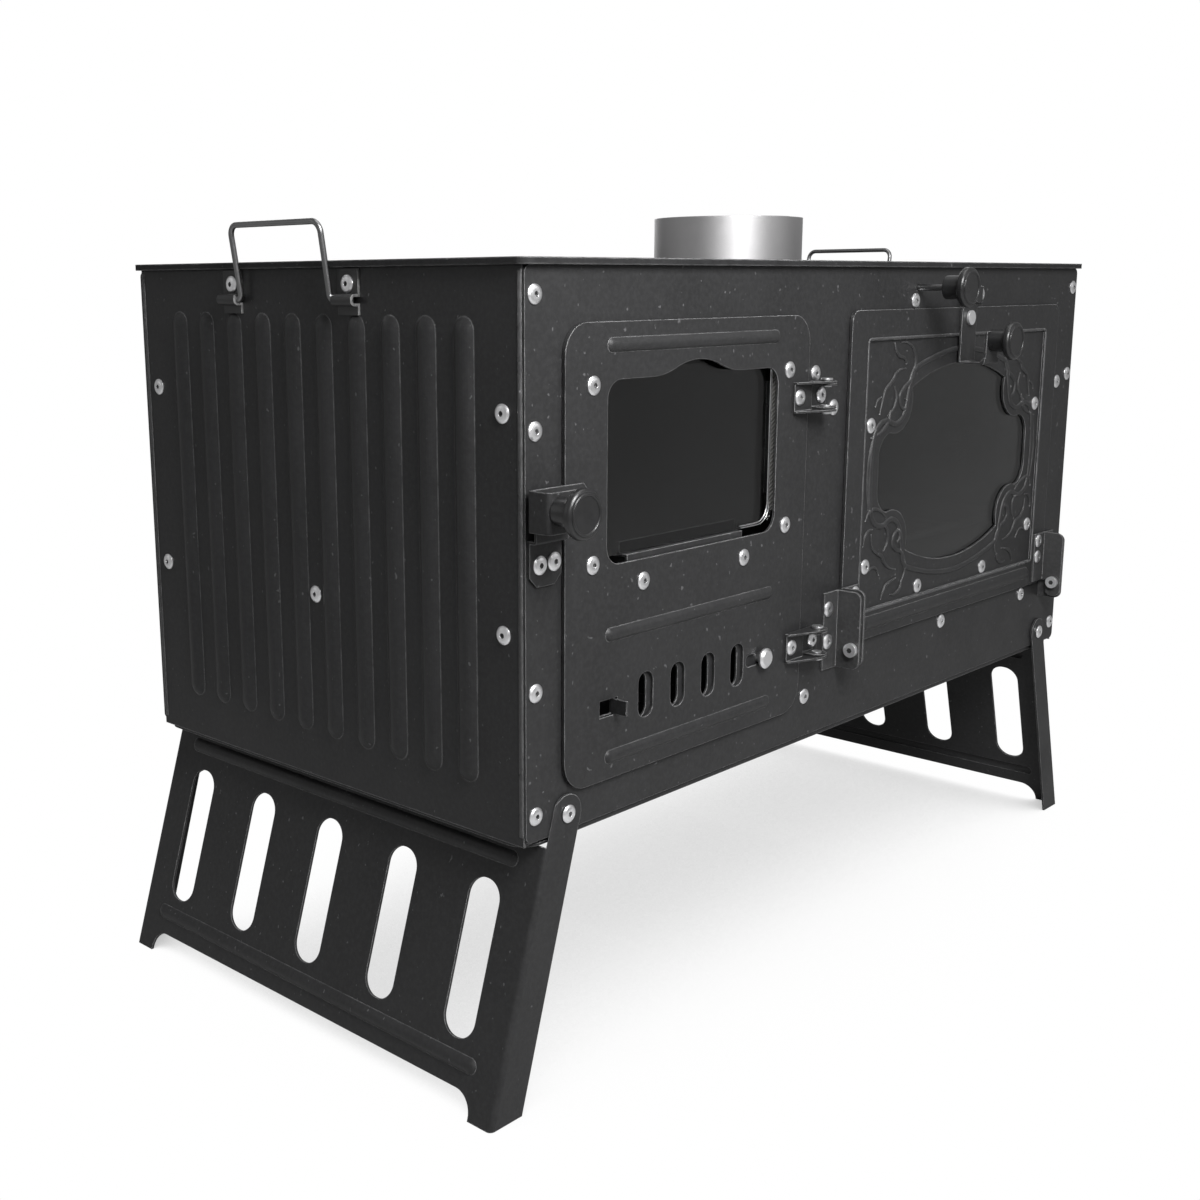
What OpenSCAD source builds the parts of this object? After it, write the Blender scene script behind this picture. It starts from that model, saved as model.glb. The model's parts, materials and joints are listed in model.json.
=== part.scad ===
// Folding camp stove with a firebox on the left and an oven on the right.
// Body coordinates: x from the left end, y from the front panel to the back, z up from its bottom edge.
// place() moves them so that the origin is on the floor below the middle of the whole stove.

/* [Body] */
// Length of the body
body_l = 600; // [596:1:620]
// Depth of the body
body_d = 320; // [312:1:360]
// Height of the front panel
body_h = 282; // [280:1:300]
// Thickness of the body's sheet steel
sheet_t = 1.5; // [1.3:0.1:1.6]
// Thickness of the cooking plate
top_t = 3.5; // [2:0.5:5]
// Overhang of the cooking plate past the body
top_overhang = 3.5; // [2:0.5:4]
// Radius of the cooking plate's corners
top_corner_r = 6; // [3:1:10]

/* [End panel ribs] */
// Number of pressed ribs
rib_count = 10; // [6:1:10]
// Distance from rib to rib
rib_pitch = 26.6; // [26:0.2:27.2]
// Width of a rib
rib_w = 14; // [10:1:15]
// Height of a rib above the panel
rib_h = 3; // [2:0.5:3]
// Distance from a rib's ends to the panel's edges
rib_margin = 24; // [24:1:40]

/* [Flue] */
// Outside radius of the flue collar
collar_r = 52; // [50:0.5:53]
// Wall of the flue collar
collar_t = 0.8; // [0.6:0.1:1.2]
// Height of the collar above the cooking plate
collar_h = 32; // [25:1:45]
// Distance from the collar's axis to the right end
collar_from_right = 220.5; // [216:0.5:224]
// Thickness of the damper plate
damper_t = 1.5; // [1:0.5:2]
// Radius of the damper rod
damper_rod_r = 2; // [2:0.25:2.5]
// How far the damper's knob stands out from the panel
damper_reach = 20; // [18:1:21]

/* [Legs] */
// Outward tilt of the standing legs
leg_tilt = 17; // [15:0.5:18]
// Length from the pivot to the foot, along the sheet
leg_len = 164.5; // [155:0.5:175]
// Distance from the leg's pivot to the body's end
leg_pivot_x = 29; // [28:0.5:31]
// Height of the leg's pivot above the panel's bottom edge
leg_pivot_z = 9.5; // [9.3:0.1:9.7]
// Distance from the pivot to the outer face of the leg's sheet
leg_offset = 10.2; // [9.9:0.1:10.3]
// Reach of a leg's flange at the foot, inward from the pivot
leg_flange_in = 12; // [11:0.5:13]
// Number of slots in a leg
leg_slots = 5; // [3:1:5]
// Width of a slot
leg_slot_w = 22.5; // [18:0.5:26]
// Distance from slot to slot
leg_slot_pitch = 63; // [50:1:64]
// Outer radius of the leg frame's bends
leg_bend_r = 3; // [2:0.5:4]

/* [Firebox door] */
// Distance from the body's left end to the door
fire_x = 25.5; // [25:0.5:27]
// Height of the door's bottom edge
fire_z = 20.3; // [20:0.1:21]
// Width of the door
fire_w = 211.1; // [208:0.1:212]
// Height of the door
fire_h = 234.7; // [233:0.1:236]
// Radius of the door's corners
fire_corner_r = 16; // [12:1:20]
// Width of the window
fire_win_w = 148.5; // [140:0.5:149]
// Height of the window at its sides
fire_win_h = 93; // [88:0.5:94]
// Rise of the arch in the middle of the window's top
fire_arch_h = 7.5; // [4:0.5:8]
// Width of the arch
fire_arch_w = 78; // [60:1:84]
// Thickness of the stove glass
glass_t = 4; // [3:0.5:4.5]
// Width of a pressed bead
bead_w = 7.2; // [6:0.2:8]
// Height of a pressed bead
bead_h = 1.8; // [1.6:0.2:2.2]

/* [Air slider] */
// Number of air slots
air_slots = 4; // [3:1:4]
// Width of an air slot
air_slot_w = 12.5; // [10:0.5:13]
// Height of an air slot
air_slot_h = 24.6; // [20:0.2:26]
// Distance from air slot to air slot
air_pitch = 27.5; // [27:0.1:27.8]
// How far the slider stands towards closed at rest
air_rest_shift = 4; // [3:0.5:5]
// Thickness of the slider
slider_t = 1.2; // [1:0.1:1.3]

/* [Oven door] */
// Width of the door
oven_w = 285; // [283:0.5:286]
// Height of the door
oven_h = 206.5; // [205:0.5:207.5]
// Distance from the door's right edge to the body's right end
oven_from_right = 32.5; // [32:0.5:34]
// Height of the door's bottom edge
oven_z = 50; // [49.8:0.1:50.4]
// Radius of the door's corners
oven_corner_r = 7; // [4:1:12]
// Width of the border round the recessed panel, at the sides
oven_border_side = 20.5; // [20:0.5:21.5]
// Height of the border above the recessed panel
oven_border_top = 18.5; // [17:0.5:20]
// Height of the border below the recessed panel
oven_border_bottom = 19; // [18:0.5:19]
// Half width of the scalloped window
scallop_half_w = 103; // [100:0.5:105]
// Half height of the scalloped window
scallop_half_h = 66; // [64:0.5:67]
// Radius of the window's top and bottom arcs
scallop_arc_r = 165; // [150:1:190]
// Radius of the lobes that reach into the window
scallop_lobe_r = 20.5; // [19:0.5:21.5]

/* [Knobs and wire] */
// Radius of a knob's disc
knob_r = 12.25; // [10:0.25:13]
// Thickness of a knob's disc
knob_disc_t = 5; // [4:0.5:6]
// Radius of a knob's stem
knob_stem_r = 7.25; // [6:0.25:8]
// Whole length of a knob
knob_l = 16.5; // [14:0.5:18]
// Radius of the bail wire
wire_r = 1.6; // [1.4:0.1:1.7]
// Distance between the bail's two legs
bail_w = 77.4; // [76:0.1:78]
// Length of the left bail's legs
left_bail_l = 40.4; // [36:0.1:46]
// Length of the right bail's legs
right_bail_l = 33.7; // [32:0.1:46]
// Outward lean of the standing left bail
left_bail_lean = 8.5; // [8:0.5:15]
// Outward lean of the standing right bail
right_bail_lean = 7.2; // [7:0.1:15]

/* [Rivets] */
// Radius of a blind rivet's head
rivet_head_r = 4.75; // [4:0.05:4.75]
// Height of a blind rivet's head
rivet_head_h = 1.5; // [1:0.1:1.5]
// Radius of a blind rivet's shank
rivet_r = 2.4; // [2:0.1:2.4]

/* [Hidden] */
$fn = 64;

paint = "#232324";
paint_dark = "#1a1a1b";
alu = "#d4d5d6";
steel = "#a9acaf";
bakelite = "#101011";
iron = "#2c2b2a";

// Between pieces that move past each other
gap = 0.3;
// Between a shaft and its bore, on the radius
run_fit = 0.06;
// Between a fastener and the hole that it fills, on the radius
hole_fit = 0.1;
// How much the round end of a slot stays short of its half width
slot_flat = 0.5;
// Overrun of every cut
over = 2;

// Openings of the front panel
panel_corner_r = 4;
fire_open_x = [36, 230];
fire_open_z = [31, 244];
fire_open_r = 8;
oven_open_left = 13.5;
oven_open_right = 12.5;
oven_open_below = 12;
oven_open_above = 10.5;
oven_open_r = 8;

// Oven door and its recessed panel
door_gap = 1;
door_y = -door_gap - sheet_t;
door_rim = 0.5;
oven_x1 = body_l - oven_from_right;
oven_x0 = oven_x1 - oven_w;
oven_xc = (oven_x0 + oven_x1) / 2;
oven_z1 = oven_z + oven_h;
recess_x = [oven_x0 + oven_border_side, oven_x1 - oven_border_side];
recess_z = [oven_z + oven_border_bottom, oven_z1 - oven_border_top];
recess_y = -door_gap;
recess_lap = 4;
scallop_lift = 104.4;
scallop_zc = oven_z + scallop_lift;
scallop_band_h = 25.5;
scallop_band_r = 15;
lobe_x = 84;
lobe_z = 45;

// Firebox door
fire_x0 = fire_x;
fire_x1 = fire_x + fire_w;
fire_z1 = fire_z + fire_h;
fire_win_inset = 31.5;
fire_win_lift = 113.2;
fire_win_r = 10;
win_x = [fire_x0 + fire_win_inset, fire_x0 + fire_win_inset + fire_win_w];
win_z = [fire_z + fire_win_lift, fire_z + fire_win_lift + fire_win_h];
arch_x = (win_x[0] + win_x[1]) / 2;

// Body flanges, pan and inner walls
flange_w = 14;
flange_lip = 12;
flange_foot = 16;
pan_drop = 1.9;
pan_inset = 0.5;
pan_corner_r = 12;
pan_wall_from_end = 17.5;
pan_wall_z = 20;
pan_rivet_x = 9;
pan_rivet_inset = 28;
side_wall_x = 256;
side_wall_top = 240;
side_wall_flange = 17;

// Place of the whole stove in the row frame
latch_lip_reach = 21.5;
front_most = latch_lip_reach + knob_l;
back_most = max(top_overhang, 2 * gap + sheet_t + rivet_head_h);
mid_y = (body_d + back_most - front_most) / 2;
floor_z = leg_pivot_z - leg_len * cos(leg_tilt) + leg_offset * sin(leg_tilt);

module place() {
    translate([-body_l / 2, -mid_y, -floor_z]) children();
}

// General shapes

// Block between two x, two y and two z values
module block(x, y, z) {
    translate([x[0], y[0], z[0]]) cube([x[1] - x[0], y[1] - y[0], z[1] - z[0]]);
}

// Outline drawn in x and z, made a sheet between two y values
module front_sheet(y) {
    translate([0, y[1], 0]) rotate([90, 0, 0]) linear_extrude(y[1] - y[0]) children();
}

// Outline drawn in y and z, made a sheet between two x values
module end_sheet(x) {
    translate([x[0], 0, 0]) rotate([90, 0, 90]) linear_extrude(x[1] - x[0]) children();
}

// Outline drawn in x and y, made a sheet between two z values
module flat_sheet(z) {
    translate([0, 0, z[0]]) linear_extrude(z[1] - z[0]) children();
}

// Flat rectangle between two values each way
module rect(a, b) {
    translate([a[0], b[0]]) square([a[1] - a[0], b[1] - b[0]]);
}

// The same with round corners
module rounded(a, b, r) {
    for (i = [a[0] + r, a[1] - r], j = [b[0] + r, b[1] - r]) translate([i, j]) circle(r);
    rect([a[0] + r, a[1] - r], b);
    rect(a, [b[0] + r, b[1] - r]);
}

// The same with only the two corners at the low end of a round
module half_rounded(a, b, r) {
    for (j = [b[0] + r, b[1] - r]) translate([a[0] + r, j]) circle(r);
    rect([a[0] + r, a[1]], b);
    rect([a[0], a[0] + 2 * r], [b[0] + r, b[1] - r]);
}

// Values that lie d either side of c
function about(c, d) = [c - d, c + d];

// Values of a range widened by d at both ends
function wider(a, d) = [a[0] - d, a[1] + d];

// Cylinder along y between two y values
module y_rod(x, z, r, y) {
    translate([x, y[1], z]) rotate([90, 0, 0]) cylinder(h = y[1] - y[0], r = r);
}

// Cylinder along x between two x values
module x_rod(y, z, r, x) {
    translate([x[0], y, z]) rotate([0, 90, 0]) cylinder(h = x[1] - x[0], r = r);
}

// Cylinder along z between two z values
module z_rod(x, y, r, z) {
    translate([x, y, z[0]]) cylinder(h = z[1] - z[0], r = r);
}

// What the left end has, made again at the right end
module at_right() {
    translate([body_l, 0, 0]) mirror([1, 0, 0]) children();
}

// What the front has, made again at the back
module at_back() {
    translate([0, body_d, 0]) mirror([0, 1, 0]) children();
}

// What the left half of the oven door has, made again on its right half
module at_oven_right() {
    translate([2 * oven_xc, 0, 0]) mirror([1, 0, 0]) children();
}

// Radius of a round bar whose cap is w wide and h high
function cap_r(w, h) = (w * w / 4 + h * h) / (2 * h);

// Round-ended bar along z, from 0 to len
module capsule(len, r) {
    rotate_extrude() intersection() {
        union() {
            translate([0, r]) circle(r);
            translate([0, len - r]) circle(r);
            translate([0, r]) square([r, len - 2 * r]);
        }
        square([2 * r, len]);
    }
}

// Bar along z that a bead is pressed with: a cap w wide and h high in front of y = 0, less a wall
module bead_bar(z, w, h, wall) {
    r = cap_r(w, h);
    lead = r - w / 2;
    translate([0, r - h, z[0] - lead + wall]) capsule(z[1] - z[0] + 2 * (lead - wall), r - wall);
}

// Rivets

rivet_bore_r = 1.35;
rivet_bulb_r = 3.4;
rivet_bulb_h = 1.2;
flat_bulb_h = 0.6;
head_rim_share = 0.35;
head_shoulder_share = 0.8;
head_crown_share = 0.55;

// Blind rivet with its head on the face y = 0, through grip of sheet behind it
module rivet(grip, bulb = rivet_bulb_h) {
    rotate([90, 0, 0]) rotate_extrude() polygon([
        [rivet_bore_r, -grip - bulb],
        [rivet_bulb_r, -grip - bulb],
        [rivet_bulb_r, -grip],
        [rivet_r, -grip],
        [rivet_r, 0],
        [rivet_head_r, 0],
        [rivet_head_r, rivet_head_h * head_rim_share],
        [rivet_head_r * head_shoulder_share, rivet_head_h * head_shoulder_share],
        [rivet_head_r * head_crown_share, rivet_head_h],
        [rivet_bore_r, rivet_head_h]]);
}

// Rivets on a face at y, at a list of x and z places
module rivets(places, y, grip, bulb = rivet_bulb_h) {
    for (p = places) translate([p[0], y, p[1]]) rivet(grip, bulb);
}

// Holes for them, through everything between two y values
module rivet_holes(places, y) {
    for (p = places) y_rod(p[0], p[1], rivet_r + hole_fit, y);
}

// Front and back panels

oven_open_x = [oven_x0 + oven_open_left, oven_x1 - oven_open_right];
oven_open_z = [oven_z + oven_open_below, oven_z1 - oven_open_above];
oven_flange_left = 20.5;
oven_flange_right = 15.5;
oven_flange_below = 12;
oven_flange_above = 6.5;
mouth_x = [oven_x0 - oven_flange_left, oven_x1 + oven_flange_right];
mouth_z = [oven_z - oven_flange_below, oven_z1 - oven_flange_above];

column_inset = 6.7;
column_low = 13.5;
column_second = 77;
column_third = 205;
column_from_top = 13.5;
columns = [for (x = [column_inset, body_l - column_inset],
    z = [column_low, column_second, column_third, body_h - column_from_top]) [x, z]];

wall_rivet_inset = 9;
wall_rivet_low = 25.4;
wall_rivet_high = 221;
wall_rivets = [for (z = [wall_rivet_low, wall_rivet_high]) [side_wall_x - wall_rivet_inset, z]];

mouth_rivet_low = 5.8;
mouth_rivet_steps = [32.2, 154.6, 277];
mouth_rivet_in_left = 6;
mouth_rivet_in_right = 7;
mouth_rivet_high = 200;
mouth_rivets = concat(
    [for (s = mouth_rivet_steps) [mouth_x[0] + s, mouth_z[0] + mouth_rivet_low]],
    [[mouth_x[0] + mouth_rivet_in_left, mouth_rivet_high],
     [mouth_x[1] - mouth_rivet_in_right, mouth_rivet_high]]);

rod_from_collar = 16.5;
rod_drop = 12.5;
collar_x = body_l - collar_from_right;
rod_x = collar_x - rod_from_collar;
rod_z = body_h - rod_drop;
guide_rivet_aside = 3;
guide_rivet_below = 8.1;
guide_rivet = [rod_x - guide_rivet_aside, rod_z - guide_rivet_below];

front_rivets = concat(columns, wall_rivets, mouth_rivets, [guide_rivet]);
back_rivets = concat(columns, wall_rivets);
leg_pivots = [for (x = [leg_pivot_x, body_l - leg_pivot_x]) [x, leg_pivot_z]];

module front_panel() {
    color(paint) place() difference() {
        front_sheet([0, sheet_t]) difference() {
            rounded([0, body_l], [0, body_h], panel_corner_r);
            rounded(fire_open_x, fire_open_z, fire_open_r);
            rounded(oven_open_x, oven_open_z, oven_open_r);
        }
        rivet_holes(concat(front_rivets, leg_pivots, fire_bracket_rivets, catch_rivets,
            oven_bracket_rivets, oven_catch_rivets), [-over, sheet_t + over]);
        y_rod(rod_x, rod_z, damper_rod_r + gap, [-over, sheet_t + over]);
    }
}

module back_panel() {
    color(paint) place() at_back() difference() {
        front_sheet([0, sheet_t]) rounded([0, body_l], [0, body_h], panel_corner_r);
        rivet_holes(concat(back_rivets, leg_pivots), [-over, sheet_t + over]);
    }
}

// End panels

liner_rivet_inset = 14.5;
liner_rivet_low = 105;
liner_rivet_high = 213;
liner_side_rivets = [for (y = [liner_rivet_inset, body_d - liner_rivet_inset],
    z = [liner_rivet_low, liner_rivet_high]) [y, z]];
liner_middle_rivet = [body_d / 2, liner_rivet_low];

// Clips that hold the bails, and where they are
clip_w = 16;
clip_spacing = 100.6;
clip_rivet_lift = 8.3;
clip_y = 174.4;
right_clip_y = 199.8;
bail_drop = 16.7;
bail_z = body_h - bail_drop;
clip_rivet_z = bail_z + clip_rivet_lift;
left_clips_y = about(clip_y, clip_spacing / 2);
right_clips_y = about(right_clip_y, clip_spacing / 2);
bail_x = -3.5;

// Rivet on the left end, head outwards, at y and z, on a face at x
module end_rivet(x, y, z, grip) {
    translate([x, y, z]) rotate([0, 0, -90]) rivet(grip);
}

module rib_bars(wall) {
    for (i = [0 : rib_count - 1])
        translate([0, body_d / 2 + (i - (rib_count - 1) / 2) * rib_pitch, 0]) rotate([0, 0, -90])
            bead_bar([rib_margin, body_h - rib_margin], rib_w, rib_h, wall);
}

module end_shell() {
    inner_y = [2 * sheet_t, body_d - 2 * sheet_t];
    difference() {
        union() {
            block([0, sheet_t], [sheet_t, body_d - sheet_t], [-pan_drop, body_h]);
            intersection() {
                rib_bars(0);
                block([-rib_h - over, sheet_t / 2], [0, body_d], [0, body_h]);
            }
            block([sheet_t, flange_w], [sheet_t, 2 * sheet_t], [0, body_h]);
            block([sheet_t, flange_w], about(body_d - 1.5 * sheet_t, sheet_t / 2), [0, body_h]);
            block([sheet_t, flange_lip], inner_y, [body_h - sheet_t, body_h]);
            block([sheet_t, flange_foot], inner_y, [-pan_drop, sheet_t - pan_drop]);
        }
        rib_bars(sheet_t);
        rivet_holes(columns, [-over, body_d + over]);
        for (y = pan_rivets_y) z_rod(pan_rivet_x, y, rivet_r + hole_fit, [-pan_drop - over, over]);
    }
}

module left_end_panel() {
    color(paint) place() difference() {
        end_shell();
        for (p = concat(liner_side_rivets, [liner_middle_rivet]))
            x_rod(p[0], p[1], rivet_r + hole_fit, [-over, sheet_t + over]);
        for (y = left_clips_y)
            x_rod(y, clip_rivet_z, rivet_r + hole_fit, [-over, sheet_t + over]);
        rivet_holes([catch_rivets[0]], [-over, 2 * sheet_t + over]);
    }
}

module right_end_panel() {
    color(paint) place() at_right() difference() {
        end_shell();
        for (y = right_clips_y)
            x_rod(y, clip_rivet_z, rivet_r + hole_fit, [-over, sheet_t + over]);
    }
}

// Bottom pan and cooking plate

pan_rivets_y = [pan_rivet_inset, body_d / 2, body_d - pan_rivet_inset];
pan_z = [-pan_drop - sheet_t, -pan_drop];

module bottom_pan() {
    color(paint_dark) place() difference() {
        union() {
            flat_sheet(pan_z)
                rounded([pan_inset, body_l - pan_inset], [sheet_t, body_d - sheet_t], pan_corner_r);
            for (y = [1.5 * sheet_t, body_d - 1.5 * sheet_t])
                block([pan_wall_from_end, body_l - pan_wall_from_end], about(y, sheet_t / 2),
                    [pan_z[0], pan_wall_z]);
        }
        rivet_holes(leg_pivots, [-over, body_d + over]);
        for (x = [pan_rivet_x, body_l - pan_rivet_x], y = pan_rivets_y)
            z_rod(x, y, rivet_r + hole_fit, wider(pan_z, over));
    }
}

module top_plate() {
    color(paint_dark) place() flat_sheet([body_h, body_h + top_t]) difference() {
        rounded(wider([0, body_l], top_overhang), wider([0, body_d], top_overhang), top_corner_r);
        translate([collar_x, body_d / 2]) circle(collar_r + hole_fit);
    }
}

collar_flange_w = 10;
collar_stop_w = 3;
module flue_collar() {
    inner_r = collar_r - collar_t;
    rim_z = top_t + collar_h - collar_t / 2;
    color(steel) place() translate([collar_x, body_d / 2, body_h]) rotate_extrude() {
        rect([inner_r - collar_stop_w, collar_r + collar_flange_w], [-sheet_t, -sheet_t + collar_t]);
        rect([inner_r, collar_r + collar_flange_w], [-sheet_t, 0]);
        rect([inner_r, collar_r], [-sheet_t, rim_z]);
        translate([collar_r - collar_t / 2, rim_z]) circle(collar_t / 2);
    }
}

// Inner walls of the firebox

module firebox_side_wall() {
    wall_z = [-pan_drop, side_wall_top];
    wall_x = [side_wall_x - side_wall_flange, side_wall_x + sheet_t];
    color(paint_dark) place() difference() {
        union() {
            block([side_wall_x, side_wall_x + sheet_t], [sheet_t, body_d - sheet_t], wall_z);
            block(wall_x, [2 * sheet_t, body_d - 2 * sheet_t], [-pan_drop, sheet_t - pan_drop]);
            for (y = [1.5 * sheet_t, body_d - 1.5 * sheet_t])
                block(wall_x, about(y, sheet_t / 2), [pan_wall_z + gap, side_wall_top]);
        }
        rivet_holes(concat(wall_rivets, fire_bracket_rivets), [-over, 2 * sheet_t + over]);
        rivet_holes(wall_rivets, [body_d - 2 * sheet_t - over, body_d + over]);
        for (y = [sheet_t, body_d - 2 * sheet_t])
            block([side_wall_x - over, side_wall_x + sheet_t + over], [y - over * (y > sheet_t ? 0 : 1),
                y + sheet_t + over * (y > sheet_t ? 1 : 0)], [-pan_drop - over, pan_wall_z + gap]);
    }
}

liner_depth = 9;
liner_flange_y = 8;
liner_web_y = 24.5;
liner_z = [92, 228];
liner_boss_r = 7;
module liner_edge() {
    block([sheet_t, 2 * sheet_t], [liner_flange_y, liner_web_y + sheet_t], liner_z);
    block([sheet_t, liner_depth + sheet_t], [liner_web_y, liner_web_y + sheet_t], liner_z);
}
module firebox_side_liner() {
    color(paint_dark) place() difference() {
        union() {
            liner_edge();
            at_back() liner_edge();
            block([liner_depth, liner_depth + sheet_t], wider([0, body_d], -liner_web_y), liner_z);
            x_rod(liner_middle_rivet[0], liner_middle_rivet[1], liner_boss_r,
                [sheet_t, liner_depth + sheet_t]);
        }
        for (p = concat(liner_side_rivets, [liner_middle_rivet]))
            x_rod(p[0], p[1], rivet_r + hole_fit, [0, liner_depth + sheet_t + over]);
    }
}

rail_top = 80;
rail_leg = 16;
rail_inset = 20;
rail_ledge = 15;
module grate_rails() {
    rail_y = wider([0, body_d], -rail_inset);
    color(paint_dark) place() {
        block([sheet_t, 2 * sheet_t], rail_y, [rail_top - rail_leg, rail_top]);
        block([sheet_t, sheet_t + rail_ledge], rail_y, [rail_top - sheet_t, rail_top]);
        block([side_wall_x - sheet_t, side_wall_x], rail_y, [rail_top - rail_leg, rail_top]);
        block([side_wall_x - rail_ledge, side_wall_x], rail_y, [rail_top - sheet_t, rail_top]);
    }
}

grate_t = 5;
grate_side = 6.5;
grate_end = 12;
grate_slots = 11;
grate_slot_w = 8;
grate_border = 16;
grate_bridge = 14;
module grate() {
    grate_x = [grate_side, side_wall_x - grate_side];
    grate_y = wider([0, body_d], -grate_end);
    pitch = (grate_x[1] - grate_x[0] - 2 * grate_border - grate_slot_w) / (grate_slots - 1);
    half_l = (grate_y[1] - grate_y[0] - 2 * grate_border - grate_bridge) / 2;
    color(iron) place() flat_sheet([rail_top, rail_top + grate_t]) difference() {
        rounded(grate_x, grate_y, grate_slot_w);
        for (i = [0 : grate_slots - 1], y = [grate_y[0] + grate_border, body_d / 2 + grate_bridge / 2])
            translate([grate_x[0] + grate_border + i * pitch, y])
                rounded([0, grate_slot_w], [0, half_l], grate_slot_w / 2 - slot_flat);
    }
}

// Oven box and rack

box_grow_left = 6;
box_grow_right = 5;
box_grow_below = 5;
box_grow_above = 2;
box_back_gap = 30;
rack_z = 100;
rack_ledge = 10;
rack_inset = 20;
cavity_x = [oven_open_x[0] - box_grow_left, oven_open_x[1] + box_grow_right];
cavity_z = [oven_open_z[0] - box_grow_below, oven_open_z[1] + box_grow_above];
box_y = [sheet_t, body_d - box_back_gap];
module oven_box() {
    color(paint_dark) place() difference() {
        union() {
            difference() {
                block(wider(cavity_x, sheet_t), box_y, wider(cavity_z, sheet_t));
                block(cavity_x, [0, box_y[1] - sheet_t], cavity_z);
            }
            difference() {
                block(mouth_x, [sheet_t, 2 * sheet_t], mouth_z);
                block(cavity_x, [0, 2 * sheet_t + over], cavity_z);
            }
            for (x = [[cavity_x[0] - sheet_t / 2, cavity_x[0] + rack_ledge],
                      [cavity_x[1] - rack_ledge, cavity_x[1] + sheet_t / 2]])
                block(x, wider([0, box_y[1]], -rack_inset), [rack_z - sheet_t, rack_z]);
        }
        rivet_holes(concat(mouth_rivets, oven_bracket_rivets), [0, 2 * sheet_t + over]);
    }
}

rack_wire_r = 2.5;
rack_bar_r = 1.5;
rack_bars = 11;
rack_seat = 0.02;
rack_side_play = 1.5;
module oven_rack() {
    inset = rack_wire_r + rack_side_play;
    rx = wider(cavity_x, -inset);
    ry = wider([0, box_y[1]], -rack_inset);
    z = rack_z + rack_seat + rack_wire_r;
    step = (rx[1] - rx[0]) / (rack_bars + 1);
    color(steel) place() {
        for (x = rx) y_rod(x, z, rack_wire_r, ry);
        for (y = ry) x_rod(y, z, rack_wire_r, rx);
        for (x = rx, y = ry) translate([x, y, z]) sphere(rack_wire_r);
        for (i = [1 : rack_bars]) y_rod(rx[0] + i * step, z, rack_bar_r, ry);
    }
}

// Damper

damper_travel = 65;
damper_drop = 7;
damper_half_w = 63.5;
damper_half_l = 56;
damper_tab_w = 16;
damper_z = [body_h - damper_drop, body_h - damper_drop + damper_t];
damper_y = about(body_d / 2, damper_half_l);
tab_y = [damper_y[0], damper_y[0] + damper_t];
tab_below = 4;
module damper_plate() {
    color(steel) place() difference() {
        union() {
            flat_sheet(damper_z) rounded(about(collar_x, damper_half_w), damper_y, panel_corner_r);
            block(about(rod_x, damper_tab_w / 2), tab_y, [rod_z - tab_below, damper_z[1]]);
        }
        y_rod(rod_x, rod_z, damper_rod_r + hole_fit, wider(tab_y, over));
    }
}

rail_reach = 14;
rail_y = [36, 236];
module damper_rail() {
    web_x = collar_x - damper_half_w - gap - sheet_t;
    foot = [body_h - sheet_t, body_h];
    ledge = [damper_z[0] - gap - sheet_t, damper_z[0] - gap];
    block([web_x - rail_reach, web_x + sheet_t], rail_y, foot);
    block([web_x, web_x + sheet_t], rail_y, [ledge[0], foot[1]]);
    block([web_x, web_x + sheet_t + rail_reach], rail_y, ledge);
}
module damper_rails() {
    color(paint_dark) place() {
        damper_rail();
        translate([2 * collar_x, 0, 0]) mirror([1, 0, 0]) damper_rail();
    }
}

knob_bore_l = 8;
module damper_rod() {
    color(steel) place()
        y_rod(rod_x, rod_z, damper_rod_r, [-damper_reach - knob_bore_l + gap, tab_y[1] + damper_t]);
}

guide_w = 16;
guide_depth = 20;
guide_above = 5;
guide_below = 13;
module damper_rod_guide() {
    gx = [rod_x - guide_w / 2 - guide_rivet_aside, rod_x + guide_w / 2];
    gz = [rod_z - guide_below, rod_z + guide_above];
    back = sheet_t + guide_depth;
    color(paint_dark) place() difference() {
        union() {
            block(gx, [sheet_t, 2 * sheet_t], gz);
            block(gx, [sheet_t, back], [gz[0], gz[0] + sheet_t]);
            block(gx, [back - sheet_t, back], gz);
        }
        y_rod(rod_x, rod_z, damper_rod_r + gap, [0, 3 * sheet_t]);
        y_rod(rod_x, rod_z, damper_rod_r + run_fit, [back - sheet_t - over, back + over]);
        rivet_holes([guide_rivet], [0, 3 * sheet_t]);
    }
}

// Knob with its back at y = 0, pointing to -y
knob_edge_r = 1.8;
module knob(bore_r) {
    rotate([90, 0, 0]) rotate_extrude() difference() {
        union() {
            rect([0, knob_stem_r], [0, knob_l - knob_disc_t + knob_edge_r]);
            rect([0, knob_r - knob_edge_r], [knob_l - knob_disc_t, knob_l]);
            rect([0, knob_r], [knob_l - knob_disc_t + knob_edge_r, knob_l - knob_edge_r]);
            for (z = [knob_l - knob_disc_t + knob_edge_r, knob_l - knob_edge_r])
                translate([knob_r - knob_edge_r, z]) circle(knob_edge_r);
        }
        rect([-over, bore_r], [-over, knob_bore_l]);
        rect([-knob_r, 0], [-over, knob_l + over]);
    }
}
module damper_knob() {
    color(bakelite) place() translate([rod_x, -damper_reach, rod_z]) knob(damper_rod_r + hole_fit);
}

// Legs

leg_top = 18.6;
leg_slot_top = 43.1;
leg_slot_bottom = 127.1;
leg_arch_drop = 13.4;
leg_arch_r = 12;
foot_w = 17;
foot_corner_r = 6;
leg_bead_w = 8.5;
leg_bead_h = 2;
leg_bead_z = [29.1, 137.6];
leg_bead_inset = 16;
leg_y = wider([0, body_d], gap + sheet_t);

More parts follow.
